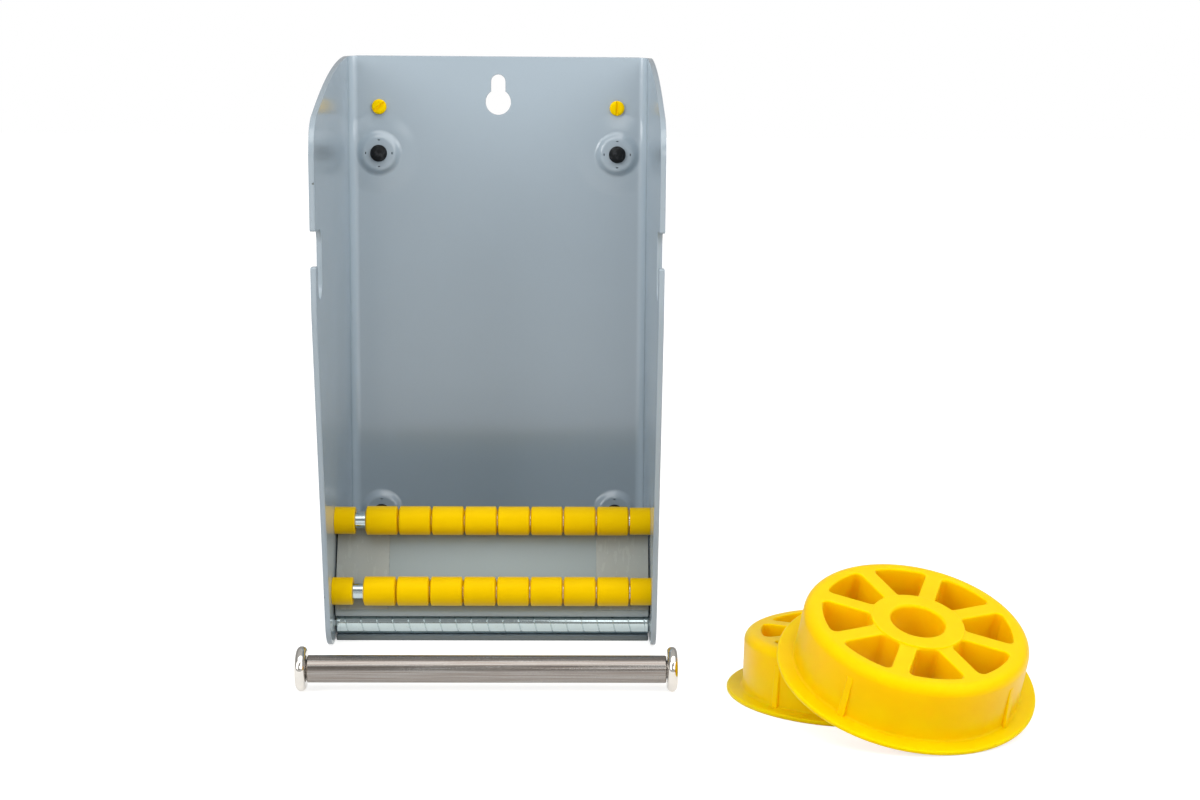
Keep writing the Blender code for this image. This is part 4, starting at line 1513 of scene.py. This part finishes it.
@dataclass
class CoreHub:
    """Moulded hub that fills a roll's core: a flanged cup with eight spokes, a bored boss and four ribs."""

    body: float = 0.0378
    flange: float = 0.0434
    flange_thickness: float = 0.0017
    flange_round: float = 0.9
    height: float = 0.0214
    draft: float = 0.0004
    rim_radius: float = 0.0036
    rim_round: float = 0.999
    wall: float = 0.0020
    web: float = 0.0128
    bore: float = 0.0090
    bore_gap: float = 0.0003
    bore_steps: int = 48
    boss: float = 0.0157
    boss_step: float = 0.0004
    boss_inset: Pair = (0.0001, 0.00005)
    boss_steps: int = 72
    window_outer: float = 0.0316
    spokes: int = 8
    spoke_width: float = 0.0057
    window_radius: float = 0.0019
    window_steps: tuple[int, int] = (4, 8)
    rim_margin: float = 0.00005
    edge_radius: float = 0.0005
    ribs: int = 4
    rib_width: float = 0.0024
    rib_proud: float = 0.0014
    rib_sink: float = 0.0001
    rib_top: float = 0.0160
    rib_edge: float = 0.0004
    steps: int = 96
    rear_spot: Pair = (0.1277, -0.1028)
    rear_turn: float = math.radians(17.8)
    front_spot: Pair = (0.1409, -0.1356)
    front_turn: float = math.radians(26.5)
    front_lean: float = math.radians(20.508)
    front_heading: float = math.radians(-70.8)

    @property
    def shelf(self) -> float:
        """Radius of the flat top, where the rim's rounding starts."""
        return self.body - self.draft - self.rim_radius

    @property
    def web_low(self) -> float:
        """Height of the web's underside."""
        return self.height - self.web

    def window(self, turn: float) -> list[Vector]:
        """Plan of the window between two spokes, its sides parallel to them.

        Args:
            turn: Angle of the first spoke.

        Returns:
            The outline.
        """
        step = FULL_TURN / self.spokes
        corners: list[Triple] = []
        for radius, parts, way in zip((self.boss, self.window_outer), self.window_steps, (1, -1)):
            clear = math.asin(self.spoke_width / 2 / radius)
            angles = [clear + (step - 2 * clear) * i / parts for i in range(parts + 1)][::way]
            for index, angle in enumerate(angles):
                corner = self.window_radius if index in (0, parts) else 0.0
                corners.append((radius * math.cos(angle + turn), radius * math.sin(angle + turn), corner))
        return rounded(corners, closed=True, step=15)

    def build_spider(self) -> Solid:
        """Thick web with its windows.

        Returns:
            The web, open at the rim where the cup joins it.
        """
        spider = Solid.begin("hub_spider")
        lines = [ring(0, 0, self.shelf, self.steps), ring(0, 0, self.bore + self.bore_gap, self.bore_steps)]
        lines += [self.window(FULL_TURN * number / self.spokes) for number in range(self.spokes)]
        for line in lines:
            spider.trace(Vector((u, v, self.height)) for u, v in line)
        spider.weld()
        bpy.ops.mesh.fill(use_beauty=True)
        bpy.ops.mesh.select_all(action="SELECT")
        bpy.ops.mesh.extrude_region_move(TRANSFORM_OT_translate={"value": (0, 0, -self.web)})
        bpy.ops.mesh.select_mode(type="FACE")
        mesh = bmesh.from_edit_mesh(spider.piece.data)
        rim = self.shelf - self.rim_margin
        for face in mesh.faces:
            upright = abs(face.normal.z) < 0.5
            face.select = upright and all(vertex.co.xy.length > rim for vertex in face.verts)
        bmesh.update_edit_mesh(spider.piece.data)
        bpy.ops.mesh.delete(type="ONLY_FACE")
        bpy.ops.mesh.select_mode(type="VERT")
        return spider.done()

    def build_cup(self) -> Solid:
        """Rim, outer wall, flange and inner wall.

        Returns:
            The cup, open where the web joins it.
        """
        edge = self.flange_thickness / 2 * self.flange_round
        corners = [
            (self.shelf, self.height, 0.0),
            (self.body - self.draft, self.height, self.rim_radius * self.rim_round),
            (self.body, self.flange_thickness, 0.0010),
            (self.flange, self.flange_thickness, edge),
            (self.flange, 0.0, edge),
            (self.body - self.wall, 0.0, 0.0004),
            (self.body - self.wall - self.draft, self.web_low, 0.0006),
            (self.shelf, self.web_low, 0.0),
        ]
        line = [Axis.Z.point(*point) for point in rounded(corners, closed=False, step=9)]
        return Solid.begin("hub_cup").trace(line, closed=False).spin(Axis.Z, self.steps).done()

    def build_boss(self) -> Solid:
        """Bored boss, which stands a little proud of the spokes.

        Returns:
            The boss.
        """
        outer, low = self.boss - self.boss_inset[0], self.web_low - self.boss_inset[1]
        crown = self.height + self.boss_step
        corners = [
            (self.bore, low, 0.0002), (outer, low, 0.0002), (outer, crown, 0.0004),
            (self.bore, crown, 0.0009),
        ]
        return Solid.turned("hub_boss", corners, Axis.Z, closed=True, step=15, steps=self.boss_steps)

    def build_rib(self, turn: float) -> Solid:
        """Wedge-shaped rib on the outer wall, from the flange up.

        Args:
            turn: Its angle round the hub.

        Returns:
            The rib.
        """
        inner, foot, top = self.body - self.wall / 2, self.flange_thickness / 2, self.rib_top
        proud, sunk = self.body + self.rib_proud, self.body - self.rib_sink
        wedge = [(inner, foot), (proud, foot), (sunk, top), (inner, top)]
        spin = Matrix.Rotation(turn, 3, "Z")
        outline = [spin @ Vector((radius, -self.rib_width / 2, height)) for radius, height in wedge]
        rib = Solid.pushed("hub_rib", outline, spin @ Vector((0, self.rib_width, 0)))
        return rib.soften(self.rib_edge, angle=40, segments=3)

    def build(self) -> None:
        """Moulds one hub about its own axis, with a spoke along X, and puts two copies in their places."""
        form = self.build_spider().absorb([self.build_cup()]).edit().weld().outward().done()
        form.soften(self.edge_radius, angle=60, segments=3)
        turns = [FULL_TURN * number / self.ribs + math.pi / self.spokes for number in range(self.ribs)]
        for part in (self.build_boss(), *(self.build_rib(turn) for turn in turns)):
            form.combine(part, Boolean.FUSE)
        rear = Matrix.Translation((*self.rear_spot, 0)) @ Matrix.Rotation(self.rear_turn, 4, "Z")
        hinge = Vector((-math.sin(self.front_heading), math.cos(self.front_heading), 0))
        front = Matrix.Translation((*self.front_spot, self.flange * math.sin(self.front_lean)))
        front @= Matrix.Rotation(self.front_lean, 4, hinge) @ Matrix.Rotation(self.front_turn, 4, "Z")
        for node, matrix in (("hub_rear", rear), ("hub_front", front)):
            form.copied(f"{node}_moulding", matrix).dress(node, HUB_PLASTIC, node)
        form.remove()


@dataclass(frozen=True)
class Lamp:
    """Soft box that is aimed at the dispenser."""

    name: str
    spot: Triple
    size: Pair
    watts: float
    target: Triple = (0.03, -0.05, 0.08)

    def build(self) -> None:
        """Hangs the lamp."""
        rest()
        bpy.ops.object.light_add(type="AREA", location=self.spot)
        lamp = bpy.context.object
        lamp.name = self.name
        lamp.data.shape = "RECTANGLE"
        lamp.data.size, lamp.data.size_y = self.size
        lamp.data.energy = self.watts
        aim = Vector(self.target) - Vector(self.spot)
        lamp.rotation_euler = aim.to_track_quat("-Z", "Y").to_euler()


@dataclass
class Studio:
    """Pale floor, soft light and the camera at the photograph's place."""

    camera_spot: Triple = (0.02539, -0.78139, 0.19849)
    pitch: float = math.radians(8.025)
    yaw: float = math.radians(1.16)
    roll: float = math.radians(0.40)
    lens: float = 60.0
    sensor: float = 36.0
    clip: Pair = (0.01, 100.0)
    floor_size: float = 40.0
    floor_grey: Pair = (0.53, 0.57)
    floor_glow: Pair = (0.72, 0.97)
    glow_reach: Pair = (0.3, 1.6)
    mirrored_share: float = 0.80
    room: tuple[Pair, ...] = (
        (0.0, 0.60), (0.12, 0.60), (0.20, 0.35), (0.55, 0.35), (0.65, 0.50), (1.0, 0.60),
    )
    lamps: tuple[Lamp, ...] = (
        Lamp("key_light", (0.12, -0.46, 0.85), (1.6, 0.62), 5.8),
        Lamp("strip_light", (0.27, -1.25, 0.50), (0.5, 0.3), 1.0),
        Lamp("left_light", (-0.95, -0.95, 0.60), (0.8, 0.7), 7.2),
        Lamp("right_light", (0.95, -0.95, 0.60), (0.8, 0.7), 4.8),
    )

    def build(self) -> None:
        """Sets up the floor, the world, the lamps and the camera."""
        self.build_floor()
        self.build_world()
        for lamp in self.lamps:
            lamp.build()
        self.build_camera()

    def build_floor(self) -> None:
        """Lays the floor, whose white is seen, straight or in a mirror, but adds no light."""
        rest()
        bpy.ops.mesh.primitive_plane_add(size=self.floor_size)
        floor = bpy.context.object
        floor.name = "floor"
        material = bpy.data.materials.new("floor_white")
        shader = Shader(material)
        grey, glow = ([scaled(WHITE, level) for level in pair] for pair in (self.floor_grey, self.floor_glow))
        away = shader.node("ShaderNodeVectorMath", {"operation": "LENGTH"}, {0: shader.where()}, "Value")
        white = shader.blend(away.ramp(*self.glow_reach), *glow)
        straight, through, mirrored = (shader.rays(kind) for kind in ("Camera", "Transmission", "Glossy"))
        seen = straight + through + mirrored * self.mirrored_share
        shader.set(
            Base_Color=shader.blend(shader.noise(0.6), *grey), Roughness=0.9, Specular_IOR_Level=0.0,
            Emission_Color=shader.blend(seen, scaled(WHITE, 0), white), Emission_Strength=1.0,
        )
        floor.data.materials.append(material)

    def build_world(self) -> None:
        """White behind the object, and for its light a dim room that is brighter overhead and below."""
        world = bpy.data.worlds.new("studio")
        bpy.context.scene.world = world
        shader = Shader(world, "Background")
        spot = shader.node("ShaderNodeTexCoord", {}, {}, "Generated")
        height = shader.node("ShaderNodeSeparateXYZ", {}, {0: spot}, "Z")
        stops = [(along, scaled(WHITE, level)) for along, level in self.room]
        room = shader.node("ShaderNodeValToRGB", {"stops": stops}, {0: height})
        shader.set(Color=shader.blend(shader.rays("Camera"), room, WHITE), Strength=1.0)

    def build_camera(self) -> None:
        """Puts the camera where the photograph was taken from."""
        rest()
        bpy.ops.object.camera_add(location=self.camera_spot)
        camera = bpy.context.object
        level = Vector((math.cos(self.yaw), -math.sin(self.yaw), 0))
        ahead = Vector((math.sin(self.yaw), math.cos(self.yaw), 0)) * math.cos(self.pitch)
        ahead.z = -math.sin(self.pitch)
        upright = level.cross(ahead)
        across = level * math.cos(self.roll) + upright * math.sin(self.roll)
        up = upright * math.cos(self.roll) - level * math.sin(self.roll)
        camera.rotation_euler = Matrix((across, up, -ahead)).transposed().to_euler()
        camera.data.lens, camera.data.sensor_width = self.lens, self.sensor
        camera.data.clip_start, camera.data.clip_end = self.clip
        bpy.context.scene.camera = camera


def main() -> None:
    """Builds the studio and the sub-assemblies in order."""
    logging.basicConfig(level=logging.INFO, format="%(name)s: %(message)s")
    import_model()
    bpy.context.scene.view_settings.view_transform = "Standard"
    Studio().build()
    BodyShell().build()
    Foot().build()
    Plug().build()
    RollerRow("upper_roller", *UPPER_SHAFT).build()
    RollerRow("lower_roller", *LOWER_SHAFT).build()
    PeelRod().build()
    GuidePlate().build()
    Spindle().build()
    CoreHub().build()


if __name__ == "__main__":
    main()
